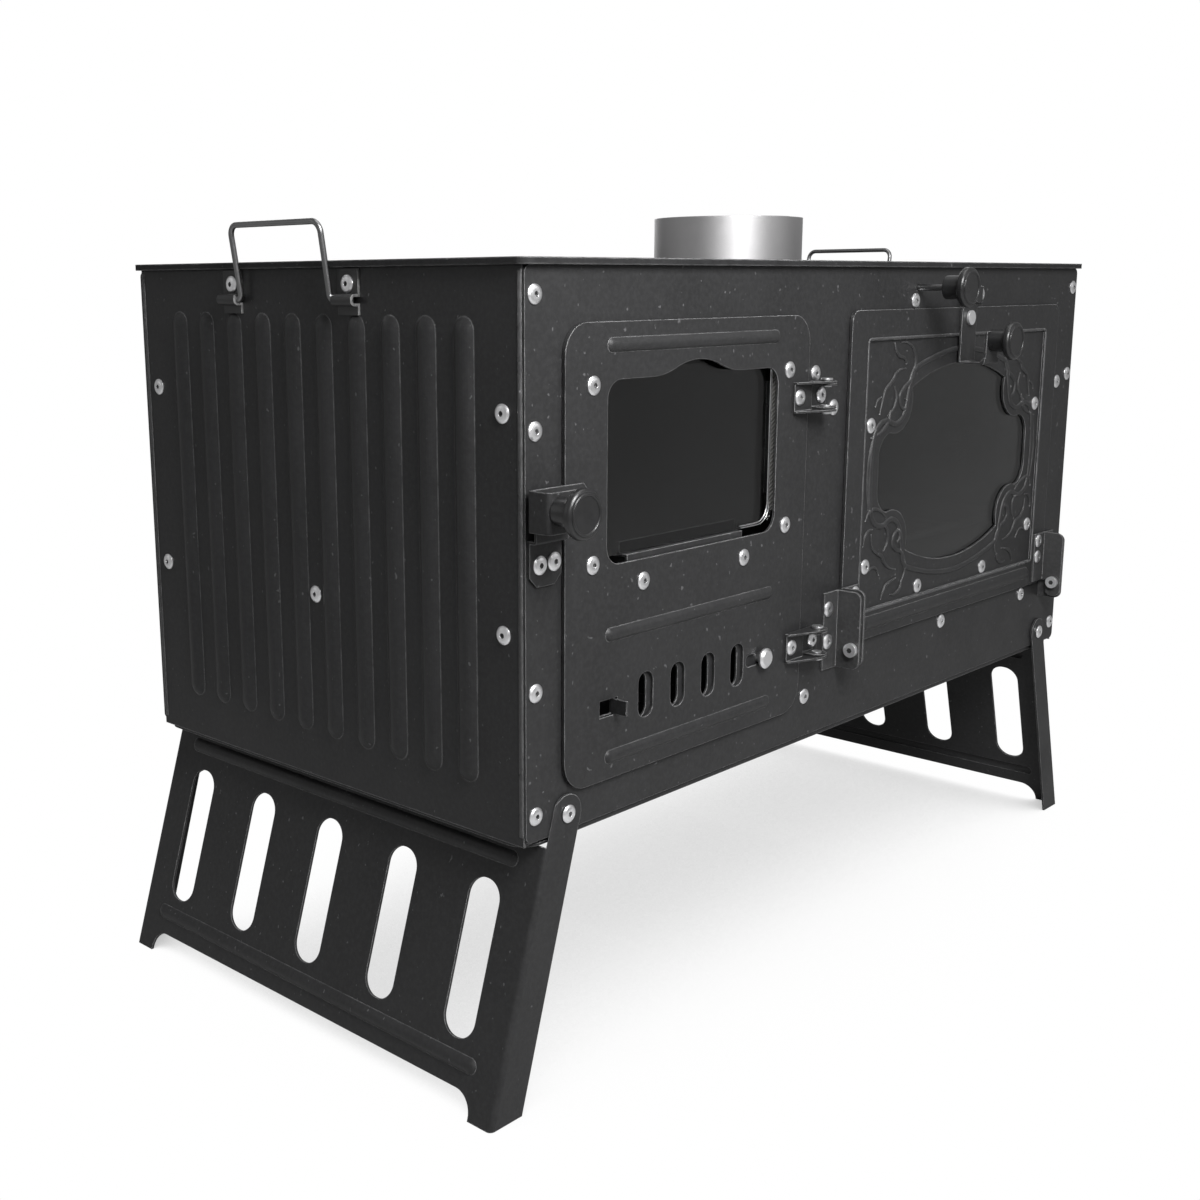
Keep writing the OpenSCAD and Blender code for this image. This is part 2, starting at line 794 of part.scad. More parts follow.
// Left leg hanging straight down from its pivot at the origin, the outer face towards -x
module leg_blank() {
    low = -leg_len - leg_flange_in;
    intersection() {
        translate([0, 0, low]) linear_extrude(leg_len + 2 * leg_flange_in + leg_offset) difference() {
            half_rounded([-leg_offset, leg_flange_in + over], leg_y, leg_bend_r);
            half_rounded([-leg_offset + sheet_t, leg_flange_in + 2 * over], wider(leg_y, -sheet_t),
                leg_bend_r - sheet_t);
        }
        front_sheet(wider(leg_y, over)) {
            circle(leg_offset);
            polygon([[-leg_offset, 0], [leg_offset, 0], [leg_flange_in, low], [-leg_offset, low]]);
        }
    }
}

module leg_beads(wall) {
    for (z = leg_bead_z) translate([-leg_offset, 0, -z]) rotate([0, 0, -90]) rotate([0, 90, 0])
        mirror([0, 0, 1]) bead_bar(wider([0, body_d], -leg_bead_inset), leg_bead_w, leg_bead_h, wall);
}

module leg_cuts() {
    inner_y = wider([0, body_d], gap);
    first = body_d / 2 - (leg_slots - 1) / 2 * leg_slot_pitch;
    block([-leg_offset - over, leg_flange_in + over], inner_y, [-leg_top, 2 * leg_offset]);
    end_sheet([-leg_offset - over, -leg_offset + sheet_t + over]) {
        for (i = [0 : leg_slots - 1]) translate([first + i * leg_slot_pitch, 0])
            rounded(about(0, leg_slot_w / 2), [-leg_slot_bottom, -leg_slot_top],
                leg_slot_w / 2 - slot_flat);
        rounded(wider([0, body_d], gap + sheet_t - foot_w), [-2 * leg_len, leg_arch_drop - leg_len],
            leg_arch_r);
    }
}

module leg() {
    color(paint_dark) place() difference() {
        translate([leg_pivot_x, 0, leg_pivot_z]) rotate([0, leg_tilt, 0]) difference() {
            union() {
                difference() {
                    leg_blank();
                    leg_cuts();
                }
                intersection() {
                    leg_beads(0);
                    block([-leg_offset - leg_bead_h - over, -leg_offset + sheet_t / 2],
                        [0, body_d], [-leg_len, 0]);
                }
            }
            leg_beads(sheet_t);
            y_rod(0, 0, rivet_r + run_fit, wider(leg_y, over));
        }
        block([-leg_len, leg_len], wider(leg_y, over), [floor_z - leg_len, floor_z]);
    }
}

module left_leg() {
    leg();
}

module right_leg() {
    mirror([1, 0, 0]) leg();
}

module leg_pivot_rivets() {
    color(alu) place() {
        rivets(leg_pivots, -2 * gap - sheet_t, 2 * gap + 3 * sheet_t);
        at_back() rivets(leg_pivots, -2 * gap - sheet_t, 2 * gap + 3 * sheet_t);
    }
}

// Bails and their clips

bail_top_r = 6;
bail_foot_r = 3.2;
bail_stub = 14;
module half_bail(len) {
    half = bail_w / 2;
    translate([0, len, 0]) rotate([0, 90, 0]) cylinder(h = half - bail_top_r, r = wire_r);
    translate([half - bail_top_r, len - bail_top_r, 0]) rotate_extrude(angle = 90)
        translate([bail_top_r, 0]) circle(wire_r);
    translate([half, bail_foot_r, 0]) rotate([-90, 0, 0])
        cylinder(h = len - bail_foot_r - bail_top_r, r = wire_r);
    translate([half + bail_foot_r, bail_foot_r, 0]) rotate([0, 0, 180]) rotate_extrude(angle = 90)
        translate([bail_foot_r, 0]) circle(wire_r);
    translate([half + bail_foot_r, 0, 0]) rotate([0, 90, 0]) cylinder(h = bail_stub, r = wire_r);
}
module bail(y, len, lean) {
    color(steel) translate([bail_x, y, bail_z]) rotate([0, -lean, 0]) rotate([90, 0, 90]) {
        half_bail(len);
        mirror([1, 0, 0]) half_bail(len);
    }
}
module left_bail() {
    place() bail(clip_y, left_bail_l, left_bail_lean);
}
module right_bail() {
    place() at_right() bail(right_clip_y, right_bail_l, right_bail_lean);
}

clip_tail = 7.7;
clip_top_gap = 0.6;
clip_top = body_h - clip_top_gap;
module clip_profile() {
    z = bail_z;
    inner_r = wire_r + run_fit;
    outer_r = inner_r + sheet_t;
    difference() {
        union() {
            translate([bail_x, z]) circle(outer_r);
            rect([bail_x, 0], about(z, outer_r));
        }
        translate([bail_x, z]) circle(inner_r);
        rect([bail_x, over], about(z, inner_r));
    }
    rect([-sheet_t, 0], [z + inner_r, clip_top]);
    rect([-sheet_t, 0], [z - clip_tail, z - inner_r]);
}
module clip(y) {
    difference() {
        front_sheet(about(y, clip_w / 2)) clip_profile();
        x_rod(y, clip_rivet_z, rivet_r + hole_fit, about(0, 2 * over));
    }
}
module bail_clips() {
    color(paint) place() {
        for (y = left_clips_y) clip(y);
        at_right() for (y = right_clips_y) clip(y);
    }
}

module body_rivets() {
    color(alu) place() {
        rivets(front_rivets, 0, 2 * sheet_t);
        at_back() rivets(back_rivets, 0, 2 * sheet_t);
        for (p = liner_side_rivets) end_rivet(0, p[0], p[1], 2 * sheet_t);
        end_rivet(0, liner_middle_rivet[0], liner_middle_rivet[1], liner_depth + sheet_t);
        for (y = left_clips_y) end_rivet(-sheet_t, y, clip_rivet_z, 2 * sheet_t);
        at_right() for (y = right_clips_y)
            end_rivet(-sheet_t, y, clip_rivet_z, 2 * sheet_t);
        for (x = [pan_rivet_x, body_l - pan_rivet_x], y = pan_rivets_y)
            translate([x, y, pan_z[0]]) rotate([90, 0, 0]) rivet(2 * sheet_t);
        rivets(concat(fire_bracket_rivets, oven_bracket_rivets, [catch_rivets[0]]), -sheet_t, 3 * sheet_t);
        rivets(concat([catch_rivets[1]], oven_catch_rivets), -sheet_t, 2 * sheet_t);
    }
}

// Firebox door

bead_low = 11.9;
bead_middle = 77.1;
bead_from_top = 11.4;
fire_beads_z = [fire_z + bead_low, fire_z + bead_middle, fire_z1 - bead_from_top];
fire_bead_inset = 31;

air_first = 64.3;
air_lift = 39.6;
air_z = fire_z + air_lift;
function air_x(i) = fire_x0 + air_first + i * air_pitch;

ear_window_from = 26.8;
ear_window_w = 14.2;
ear_window_h = 9;
ear_window_drop = 1;
ear_window_x = [fire_x0 + ear_window_from, fire_x0 + ear_window_from + ear_window_w];
pin_slot_from = 155.5;
pin_slot_l = 18.5;
pin_slot_h = 7;
pin_slot_x = [fire_x0 + pin_slot_from, fire_x0 + pin_slot_from + pin_slot_l];

glass_rivet_out = 10.9;
glass_rivet_in = 2;
glass_rivet_below = 11.7;
glass_rivet_aside = 29.5;
glass_rivets = [
    [win_x[0] - glass_rivet_out, win_z[1] - glass_rivet_in],
    [win_x[1] + glass_rivet_out, win_z[1] - glass_rivet_in],
    [win_x[0] - glass_rivet_out, win_z[0] + glass_rivet_in],
    [win_x[1] + glass_rivet_out, win_z[0] + glass_rivet_in],
    [win_x[0] + glass_rivet_aside, win_z[0] - glass_rivet_below],
    [win_x[1] - glass_rivet_aside, win_z[0] - glass_rivet_below]];

hinge_up = 188.1;
hinge_down = 40.3;
hinges_z = [fire_z + hinge_up, fire_z + hinge_down];
hinge_from_wall = 9;
hinge_pin_x = side_wall_x - hinge_from_wall;
hinge_pin_y = -8;
bracket_rivet_out = 4.5;
fire_bracket_rivets = [for (z = hinges_z) [hinge_pin_x + bracket_rivet_out, z]];
door_bracket_rivet_in = 11.2;
door_bracket_rivets = [for (z = hinges_z) [fire_x1 - door_bracket_rivet_in, z]];

latch_pivot_in = 10.5;
latch_lift = 147.7;
latch_x = fire_x0 + latch_pivot_in;
latch_z = fire_z + latch_lift;

module arch_outline() {
    half = fire_arch_w / 2;
    r = (half * half / 4 + fire_arch_h * fire_arch_h / 4) / fire_arch_h;
    top = win_z[1];
    difference() {
        rect(about(arch_x, half), [top - fire_win_r, top + fire_arch_h / 2]);
        for (x = about(arch_x, half)) translate([x, top + r]) circle(r, $fn = 180);
    }
    intersection() {
        translate([arch_x, top + fire_arch_h - r]) circle(r, $fn = 180);
        rect(about(arch_x, half / 2), [top, top + fire_arch_h + over]);
    }
}

module firebox_door() {
    through = [door_y - over, over];
    color(paint) place() difference() {
        union() {
            front_sheet([door_y, -door_gap]) rounded([fire_x0, fire_x1], [fire_z, fire_z1], fire_corner_r);
            front_sheet([-door_gap, -door_gap + door_rim]) difference() {
                rounded([fire_x0, fire_x1], [fire_z, fire_z1], fire_corner_r);
                rounded([fire_x0 + sheet_t, fire_x1 - sheet_t], [fire_z + sheet_t, fire_z1 - sheet_t],
                    fire_corner_r - sheet_t);
            }
            intersection() {
                fire_bead_bars(0);
                block([fire_x0, fire_x1], [door_y - bead_h - over, door_y + sheet_t / 2], [fire_z, fire_z1]);
            }
        }
        fire_bead_bars(sheet_t);
        front_sheet(through) {
            rounded(win_x, win_z, fire_win_r);
            arch_outline();
            for (i = [0 : air_slots - 1]) translate([air_x(i), air_z])
                rounded(about(0, air_slot_w / 2), about(0, air_slot_h / 2), air_slot_w / 2 - slot_flat);
            rect(ear_window_x, about(air_z - ear_window_drop, ear_window_h / 2));
            rounded(pin_slot_x, about(air_z, pin_slot_h / 2), pin_slot_h / 2 - slot_flat);
        }
        rivet_holes(concat(glass_rivets, door_bracket_rivets, [[latch_x, latch_z]]), through);
    }
}

module fire_bead_bars(wall) {
    for (z = fire_beads_z) translate([0, door_y, z]) rotate([0, 90, 0])
        bead_bar([fire_x0 + fire_bead_inset, fire_x1 - fire_bead_inset], bead_w, bead_h, wall);
}

// Glass, its rope seal and the frame that holds it
glass_play = 0.5;
glass_out_side = 4;
glass_over_top = 10;
glass_foot = 3.4;
glass_corner_r = 8;
seal_w = 3;
seal_t = 3.5;
glass_x = wider(win_x, glass_out_side);
glass_z = [win_z[0] + glass_foot, win_z[1] + glass_over_top];
glass_y = [-door_gap + seal_t, -door_gap + seal_t + glass_t];
module firebox_glass() {
    color([0.16, 0.16, 0.17, 0.6]) place()
        front_sheet(glass_y) rounded(glass_x, glass_z, glass_corner_r);
}
module firebox_glass_seal() {
    seal_y = [-door_gap, glass_y[0]];
    side_z = [glass_z[0] + glass_corner_r, glass_z[1] - glass_corner_r];
    color("#3a3936") place() {
        block([glass_x[0], glass_x[0] + seal_w], seal_y, side_z);
        block([glass_x[1] - seal_w, glass_x[1]], seal_y, side_z);
        block(wider(glass_x, -glass_corner_r), seal_y, [glass_z[1] - seal_w, glass_z[1]]);
    }
}

retainer_flange = 12;
retainer_below = 18.5;
retainer_above = 4.5;
retainer_x = wider(glass_x, retainer_flange);
retainer_z = [win_z[0] - retainer_below, glass_z[1] + retainer_above];
retainer_lip = 6;
retainer_inset = 18;
ledge_in_left = 18;
ledge_in_right = 29.5;
ledge_x = [win_x[0] + ledge_in_left, win_x[1] - ledge_in_right];
ledge_below = 4;
module firebox_glass_retainer() {
    y0 = -door_gap;
    back = glass_y[1] + sheet_t;
    hole_x = wider(glass_x, glass_play);
    hole_z = [glass_z[0] - glass_play, glass_z[1] + glass_play];
    side_z = [glass_z[0] + retainer_inset, glass_z[1] - retainer_inset];
    top_x = wider(glass_x, -retainer_inset);
    color(paint_dark) place() difference() {
        union() {
            front_sheet([y0, y0 + sheet_t]) difference() {
                rounded(retainer_x, retainer_z, glass_corner_r);
                rounded([hole_x[0] - sheet_t, hole_x[1] + sheet_t],
                    [win_z[0] - ledge_below, hole_z[1] + sheet_t], glass_corner_r);
            }
            for (x = [[hole_x[0] - 2 * sheet_t, hole_x[0]], [hole_x[1], hole_x[1] + 2 * sheet_t]])
                block(x, [y0, back], side_z);
            block([hole_x[0] - sheet_t, hole_x[0] + retainer_lip], [glass_y[1], back], side_z);
            block([hole_x[1] - retainer_lip, hole_x[1] + sheet_t], [glass_y[1], back], side_z);
            block(top_x, [y0, back], [hole_z[1], hole_z[1] + 2 * sheet_t]);
            block(top_x, [glass_y[1], back], [hole_z[1] - retainer_lip, hole_z[1] + sheet_t]);
            block(ledge_x, [y0, y0 + sheet_t], [win_z[0] - ledge_below - sheet_t, glass_z[0]]);
            block(ledge_x, [y0, back], [glass_z[0] - sheet_t, glass_z[0]]);
            block(ledge_x, [glass_y[1], back], [glass_z[0] - sheet_t, glass_z[0] + retainer_lip]);
        }
        rivet_holes(glass_rivets, [y0 - over, y0 + 2 * sheet_t]);
    }
}

module firebox_door_rivets() {
    color(alu) place() {
        rivets(glass_rivets, door_y, 2 * sheet_t);
        rivets(door_bracket_rivets, door_y - sheet_t, 2 * sheet_t);
    }
}

// Air slider, its guides and button
slider_half_h = 16;
slider_left = 24.5;
slider_right = 178.5;
slider_x = [fire_x0 + slider_left, fire_x0 + slider_right];
slider_z = about(air_z, slider_half_h);
slider_y = [-door_gap + gap, -door_gap + gap + slider_t];
ear_l = 10.3;
ear_back = 3;
ear_play = 0.5;
ear_x = ear_window_x[1] - ear_back;
button_play = 0.2;
button_x = pin_slot_x[1] - pin_slot_h / 2 + button_play;
button_r = 3;
button_tail_r = 2;
button_head_r = 6;
button_reach = 2.5;
button_head_h = 2.5;
button_crown_r = 4.5;
module air_slider() {
    ear_z = about(air_z - ear_window_drop, ear_window_h / 2 - ear_play);
    color(paint_dark) place() difference() {
        union() {
            block(slider_x, slider_y, slider_z);
            block([ear_x, ear_x + slider_t], [slider_y[0] - ear_l, slider_y[1]], ear_z);
        }
        block([ear_x - ear_l, ear_x], wider(slider_y, over), ear_z);
        front_sheet(wider(slider_y, over)) for (i = [0 : air_slots - 1])
            translate([air_x(i) - air_rest_shift, air_z])
                rounded(about(0, air_slot_w / 2), about(0, air_slot_h / 2), air_slot_w / 2 - slot_flat);
        y_rod(button_x, air_z, button_tail_r + hole_fit, wider(slider_y, over));
    }
}

guide_lip = 4;
guide_flange = 6;
guide_inset = 10;
module slider_guide() {
    gx = wider(slider_x, -guide_inset);
    lip_y = [slider_y[1] + gap, slider_y[1] + gap + slider_t];
    block(gx, [-door_gap, lip_y[1]], [slider_z[1] + gap, slider_z[1] + gap + slider_t]);
    block(gx, lip_y, [slider_z[1] - guide_lip, slider_z[1] + gap + slider_t]);
    block(gx, [-door_gap, -door_gap + slider_t], [slider_z[1] + gap, slider_z[1] + gap + guide_flange]);
}
module air_slider_guides() {
    color(paint_dark) place() {
        slider_guide();
        translate([0, 0, 2 * air_z]) mirror([0, 0, 1]) slider_guide();
    }
}

module air_slider_button() {
    face = -door_y + button_reach;
    color(alu) place() translate([button_x, 0, air_z]) rotate([90, 0, 0]) rotate_extrude() polygon([
        [0, -slider_y[1] - gap],
        [button_r, -slider_y[1] - gap],
        [button_r, -slider_y[1]],
        [button_tail_r, -slider_y[1]],
        [button_tail_r, -slider_y[0]],
        [button_r, -slider_y[0]],
        [button_r, face],
        [button_head_r, face],
        [button_head_r, face + button_head_h / 2],
        [button_crown_r, face + button_head_h],
        [0, face + button_head_h]]);
}

// Firebox hinges: a wide U on the door over a narrow U on the body

hinge_half = 8.8;
hinge_t = 1.2;
hinge_pin_r = 2;
hinge_eye_r = 6;
hinge_head_r = 3.5;
hinge_head_h = 1.2;
hinge_tail_r = 3;
hinge_tail_h = 0.8;
hinge_inner_half = hinge_half - hinge_t - gap;
door_base_in = 16.1;
door_base_out = 1.4;
body_base_out = 10;
eye_slope_share = 0.75;
pin_fit = 0.02;
door_base_x = [fire_x1 - door_base_in, fire_x1 + door_base_out];
body_base_x = [hinge_pin_x - hinge_eye_r, hinge_pin_x + body_base_out];

module door_bracket() {
    base_y = door_y - sheet_t;
    difference() {
        union() {
            block(door_base_x, [base_y, door_y], about(0, hinge_half));
            for (z = [-hinge_half, hinge_half - hinge_t]) flat_sheet([z, z + hinge_t]) {
                translate([hinge_pin_x, hinge_pin_y]) circle(hinge_eye_r);
                polygon([
                    [door_base_x[0], door_y],
                    [door_base_x[1], door_y],
                    [hinge_pin_x, hinge_pin_y + hinge_eye_r],
                    [hinge_pin_x, hinge_pin_y - hinge_eye_r],
                    [door_base_x[1], hinge_pin_y - hinge_eye_r * eye_slope_share],
                    [door_base_x[0], base_y - sheet_t]]);
            }
        }
        z_rod(hinge_pin_x, hinge_pin_y, hinge_pin_r + run_fit, about(0, hinge_half + over));
        y_rod(door_base_x[0] + door_base_in - door_bracket_rivet_in, 0, rivet_r + hole_fit,
            [base_y - over, door_y + over]);
    }
}
module firebox_hinge_door_brackets() {
    color(paint) place() for (z = hinges_z) translate([0, 0, z]) door_bracket();
}

module body_bracket() {
    difference() {
        union() {
            block(body_base_x, [-sheet_t, 0], about(0, hinge_inner_half));
            for (z = [-hinge_inner_half, hinge_inner_half - hinge_t]) flat_sheet([z, z + hinge_t]) {
                translate([hinge_pin_x, hinge_pin_y]) circle(hinge_eye_r);
                rect(about(hinge_pin_x, hinge_eye_r), [hinge_pin_y, 0]);
            }
        }
        z_rod(hinge_pin_x, hinge_pin_y, hinge_pin_r + pin_fit, about(0, hinge_half + over));
        y_rod(hinge_pin_x + bracket_rivet_out, 0, rivet_r + hole_fit, [-sheet_t - over, over]);
    }
}
module firebox_hinge_body_brackets() {
    color(paint) place() for (z = hinges_z) translate([0, 0, z]) body_bracket();
}

module hinge_pin() {
    z_rod(0, 0, hinge_pin_r, [hinge_inner_half - hinge_t - hinge_tail_h, hinge_half + gap + hinge_head_h]);
    z_rod(0, 0, hinge_tail_r, [hinge_inner_half - hinge_t - hinge_tail_h, hinge_inner_half - hinge_t]);
    z_rod(0, 0, hinge_head_r, [hinge_half + gap, hinge_half + gap + hinge_head_h]);
}
module firebox_hinge_pins() {
    color(alu) place() for (z = hinges_z) translate([hinge_pin_x, hinge_pin_y, z]) {
        hinge_pin();
        mirror([0, 0, 1]) hinge_pin();
    }
}

// Firebox latch: a bent arm on the door that drops behind the catch on the body

arm_half = 10;
arm_x0 = -2;
arm_right = 5;
arm_lip_x = 20;
arm_depth = 17.3;
arm_bend_r = 2.5;
arm_chamfer = 4;
arm_knob_x = 5.7;
arm_knob_lift = 0.8;
arm_knob_z = latch_z + arm_knob_lift;
arm_back_y = door_y - gap;
module firebox_latch_arm() {
    arm_z = about(latch_z, arm_half);
    arm_x1 = latch_x + arm_right;
    color(paint) place() difference() {
        intersection() {
            flat_sheet(arm_z) difference() {
                half_rounded([arm_x0, arm_x1], [-arm_depth, arm_back_y], arm_bend_r);
                half_rounded([arm_x0 + sheet_t, arm_x1 + over], [sheet_t - arm_depth, arm_back_y - sheet_t],
                    arm_bend_r - sheet_t);
                rect([arm_lip_x, arm_x1 + over], [-arm_depth - over, arm_back_y - sheet_t]);
            }
            front_sheet([-arm_depth - over, 0]) polygon([
                [arm_x0, arm_z[0]],
                [arm_x1 - arm_chamfer, arm_z[0]],
                [arm_x1, arm_z[0] + arm_chamfer],
                [arm_x1, arm_z[1] - arm_chamfer],
                [arm_x1 - arm_chamfer, arm_z[1]],
                [arm_x0, arm_z[1]]]);
        }
        y_rod(latch_x, latch_z, rivet_r + run_fit, [arm_back_y - sheet_t - over, over]);
        y_rod(arm_knob_x, arm_knob_z, screw_r + hole_fit, wider([-arm_depth, sheet_t - arm_depth], over));
    }
}

screw_r = 2;
screw_head_r = 4;
screw_head_h = 2.5;
// Screw through a lip into a knob, the knob's back at y = 0
module knob_screw() {
    y_rod(0, 0, screw_r, [-knob_bore_l + gap, sheet_t + screw_head_h / 2]);
    y_rod(0, 0, screw_head_r, [sheet_t, sheet_t + screw_head_h]);
}
module firebox_latch_knob() {
    color(bakelite) place() translate([arm_knob_x, -arm_depth, arm_knob_z]) knob(screw_r + hole_fit);
}
module firebox_latch_screw() {
    color(alu) place() translate([arm_knob_x, -arm_depth, arm_knob_z]) knob_screw();
}

// Rivet that a latch turns on, held in a door, head in front
pivot_head_h = 1.8;
module latch_pivot(x, z) {
    face = door_y - sheet_t - 2 * gap;
    translate([x, 0, z]) {
        y_rod(0, 0, rivet_r, [face - pivot_head_h / 2, -door_gap + flat_bulb_h]);
        y_rod(0, 0, rivet_head_r, [face - pivot_head_h, face]);
        y_rod(0, 0, rivet_bulb_r, [-door_gap, -door_gap + flat_bulb_h]);
    }
}
module firebox_latch_pivot() {
    color(alu) place() latch_pivot(latch_x, latch_z);
}

catch_x = [1.4, 24];
catch_low = 130;
catch_clear = 6;
catch_lip_y = -6.1;
catch_top = latch_z - arm_half - gap;
catch_floor = catch_top - catch_clear;
catch_chamfer = 5;
catch_rivets = [[8.4, 140.7], [18.7, 141.3]];
module firebox_catch() {
    color(paint) place() difference() {
        intersection() {
            end_sheet(catch_x) {
                rect([-sheet_t, 0], [catch_low, catch_floor + sheet_t]);
                difference() {
                    rounded([catch_lip_y, 0], [catch_floor, catch_top + 2 * over], sheet_t);
                    rect([catch_lip_y + sheet_t, over], [catch_floor + sheet_t, catch_top + 3 * over]);
                    rect([catch_lip_y - over, over], [catch_top, catch_top + 3 * over]);
                }
            }
            front_sheet([catch_lip_y - over, over]) polygon([
                [catch_x[0] + catch_chamfer, catch_low],
                [catch_x[1] - catch_chamfer, catch_low],
                [catch_x[1], catch_low + catch_chamfer],
                [catch_x[1], catch_top],
                [catch_x[0], catch_top],
                [catch_x[0], catch_low + catch_chamfer]]);
        }
        rivet_holes(catch_rivets, [-sheet_t - over, over]);
    }
}

// Oven door

oven_bead_z = 10;
oven_bead_w = 9;
oven_bead_h = 2.4;
oven_bead_inset = 24;
glass_side_rivet_in = 7.5;
glass_side_rivets_lift = [28, 117];
glass_low_rivet_lift = 5.5;
glass_low_rivet_aside = 46;
oven_glass_rivets = concat(
    [for (x = wider(recess_x, -glass_side_rivet_in), z = glass_side_rivets_lift) [x, recess_z[0] + z]],
    [for (x = about(oven_xc, glass_low_rivet_aside)) [x, recess_z[0] + glass_low_rivet_lift]]);
oven_bracket_rivet_in = 12.5;
oven_bracket_rivet_z = [70.5, 82.5];
oven_door_bracket_rivets = [for (x = [oven_x0 + oven_bracket_rivet_in, oven_x1 - oven_bracket_rivet_in],
    z = oven_bracket_rivet_z) [x, z]];
oven_latch_aside = 0.5;
oven_latch_drop = 6.9;
oven_latch_x = oven_xc + oven_latch_aside;
oven_latch_z = oven_z1 - oven_latch_drop;

// Window outline about its centre
module scallop_window() {
    difference() {
        union() {
            intersection() {
                long_arc(1);
                long_arc(-1);
                rect(about(0, lobe_x), about(0, scallop_half_h + over));
            }
            rounded(about(0, scallop_half_w), about(0, scallop_band_h), scallop_band_r);
        }
        for (i = [-1, 1], j = [-1, 1]) translate([i * lobe_x, j * lobe_z]) circle(scallop_lobe_r);
    }
}
module long_arc(side) {
    translate([0, side * (scallop_half_h - scallop_arc_r)]) circle(scallop_arc_r, $fn = 360);
}

module oven_bead_bar(wall) {
    translate([0, door_y, oven_z + oven_bead_z]) rotate([0, 90, 0])
        bead_bar([oven_x0 + oven_bead_inset, oven_x1 - oven_bead_inset], oven_bead_w, oven_bead_h, wall);
}

module oven_door() {
    outer_x = [oven_x0, oven_x1];
    outer_z = [oven_z, oven_z1];
    color(paint) place() difference() {
        union() {
            front_sheet([door_y, -door_gap]) difference() {
                rounded(outer_x, outer_z, oven_corner_r);
                rect(recess_x, recess_z);
            }
            front_sheet([recess_y, recess_y + sheet_t]) difference() {
                rect(wider(recess_x, recess_lap), wider(recess_z, recess_lap));
                translate([oven_xc, scallop_zc]) scallop_window();
            }
            front_sheet([-door_gap, -door_gap + door_rim]) difference() {
                rounded(outer_x, outer_z, oven_corner_r);
                rounded(wider(outer_x, -sheet_t), wider(outer_z, -sheet_t), oven_corner_r - sheet_t);
            }
            intersection() {
                oven_bead_bar(0);
                block(outer_x, [door_y - oven_bead_h - over, door_y + sheet_t / 2], outer_z);
            }
        }
        intersection() {
            oven_bead_bar(sheet_t);
            block(outer_x, [door_y - oven_bead_h, -door_gap], [oven_z, recess_z[0] - sheet_t]);
        }
        rivet_holes(concat(oven_glass_rivets, oven_door_bracket_rivets, [[oven_latch_x, oven_latch_z]]),
            [door_y - over, over]);
    }
}

oven_glass_side = 5;
oven_glass_low = 6;
oven_glass_high = 6;
oven_lip = 5;
oven_glass_x = wider(about(oven_xc, scallop_half_w), oven_glass_side);
oven_glass_z = [scallop_zc - scallop_half_h - oven_glass_low, scallop_zc + scallop_half_h + oven_glass_high];
oven_glass_y = [recess_y + sheet_t, recess_y + sheet_t + glass_t];
module oven_glass() {
    color([0.16, 0.16, 0.17, 0.6]) place() front_sheet(oven_glass_y) rect(oven_glass_x, oven_glass_z);
}
module oven_glass_retainer() {
    hole_x = wider(oven_glass_x, glass_play);
    hole_z = wider(oven_glass_z, glass_play);
    y0 = oven_glass_y[0];
    back = oven_glass_y[1] + sheet_t;
    color(paint_dark) place() difference() {
        union() {
            front_sheet([y0, y0 + sheet_t])
                rect(wider(recess_x, recess_lap / 2), wider(recess_z, recess_lap / 2));
            front_sheet([y0, back]) rect(wider(hole_x, sheet_t), wider(hole_z, sheet_t));
        }
        block(hole_x, [y0 - over, oven_glass_y[1]], hole_z);
        block(wider(oven_glass_x, -oven_lip), [y0, back + over], wider(oven_glass_z, -oven_lip));
        rivet_holes(oven_glass_rivets, [y0 - over, y0 + 2 * sheet_t]);
    }
}

module oven_door_rivets() {
    color(alu) place() {
        rivets(oven_glass_rivets, recess_y, 2 * sheet_t);
        rivets(oven_door_bracket_rivets, door_y - sheet_t, 2 * sheet_t, flat_bulb_h);
    }
}

// Oven hinges: standing flanges side by side on a screw

pivot_y = -12.5;
pivot_z = oven_z + 0.6;
pivot_r = 2;
body_flange_z = [38.2, 87];
body_flange_gap = 1.5;
body_flange_reach = 17.7;
body_flat_w = 16.5;
flange_corner_r = 5;
door_flange_reach = 18.3;
door_flange_z = [51.7, 88];
door_flat_w = 17.5;
ear_low = 40;
ear_inner_y = -7;
flange_in = 0.3;
oven_bracket_rivet_out = 12;
body_rivet_z = [56, 76.5];
oven_bracket_rivets = [for (x = [oven_x0 - body_flange_gap - oven_bracket_rivet_out,
    oven_x1 + body_flange_gap + oven_bracket_rivet_out], z = body_rivet_z) [x, z]];

module oven_body_bracket() {
    stand_x = [oven_x0 - body_flange_gap - sheet_t, oven_x0 - body_flange_gap];
    difference() {
        union() {
            block([stand_x[1] - body_flat_w, stand_x[1]], [-sheet_t, 0], body_flange_z);
            end_sheet(stand_x) half_rounded([-body_flange_reach, 0], body_flange_z, flange_corner_r);
        }
        x_rod(pivot_y, pivot_z, pivot_r + hole_fit, wider(stand_x, over));
        rivet_holes(oven_bracket_rivets, [-sheet_t - over, over]);
    }
}
module oven_hinge_body_brackets() {
    color(paint) place() {
        oven_body_bracket();
        at_oven_right() oven_body_bracket();
    }
}

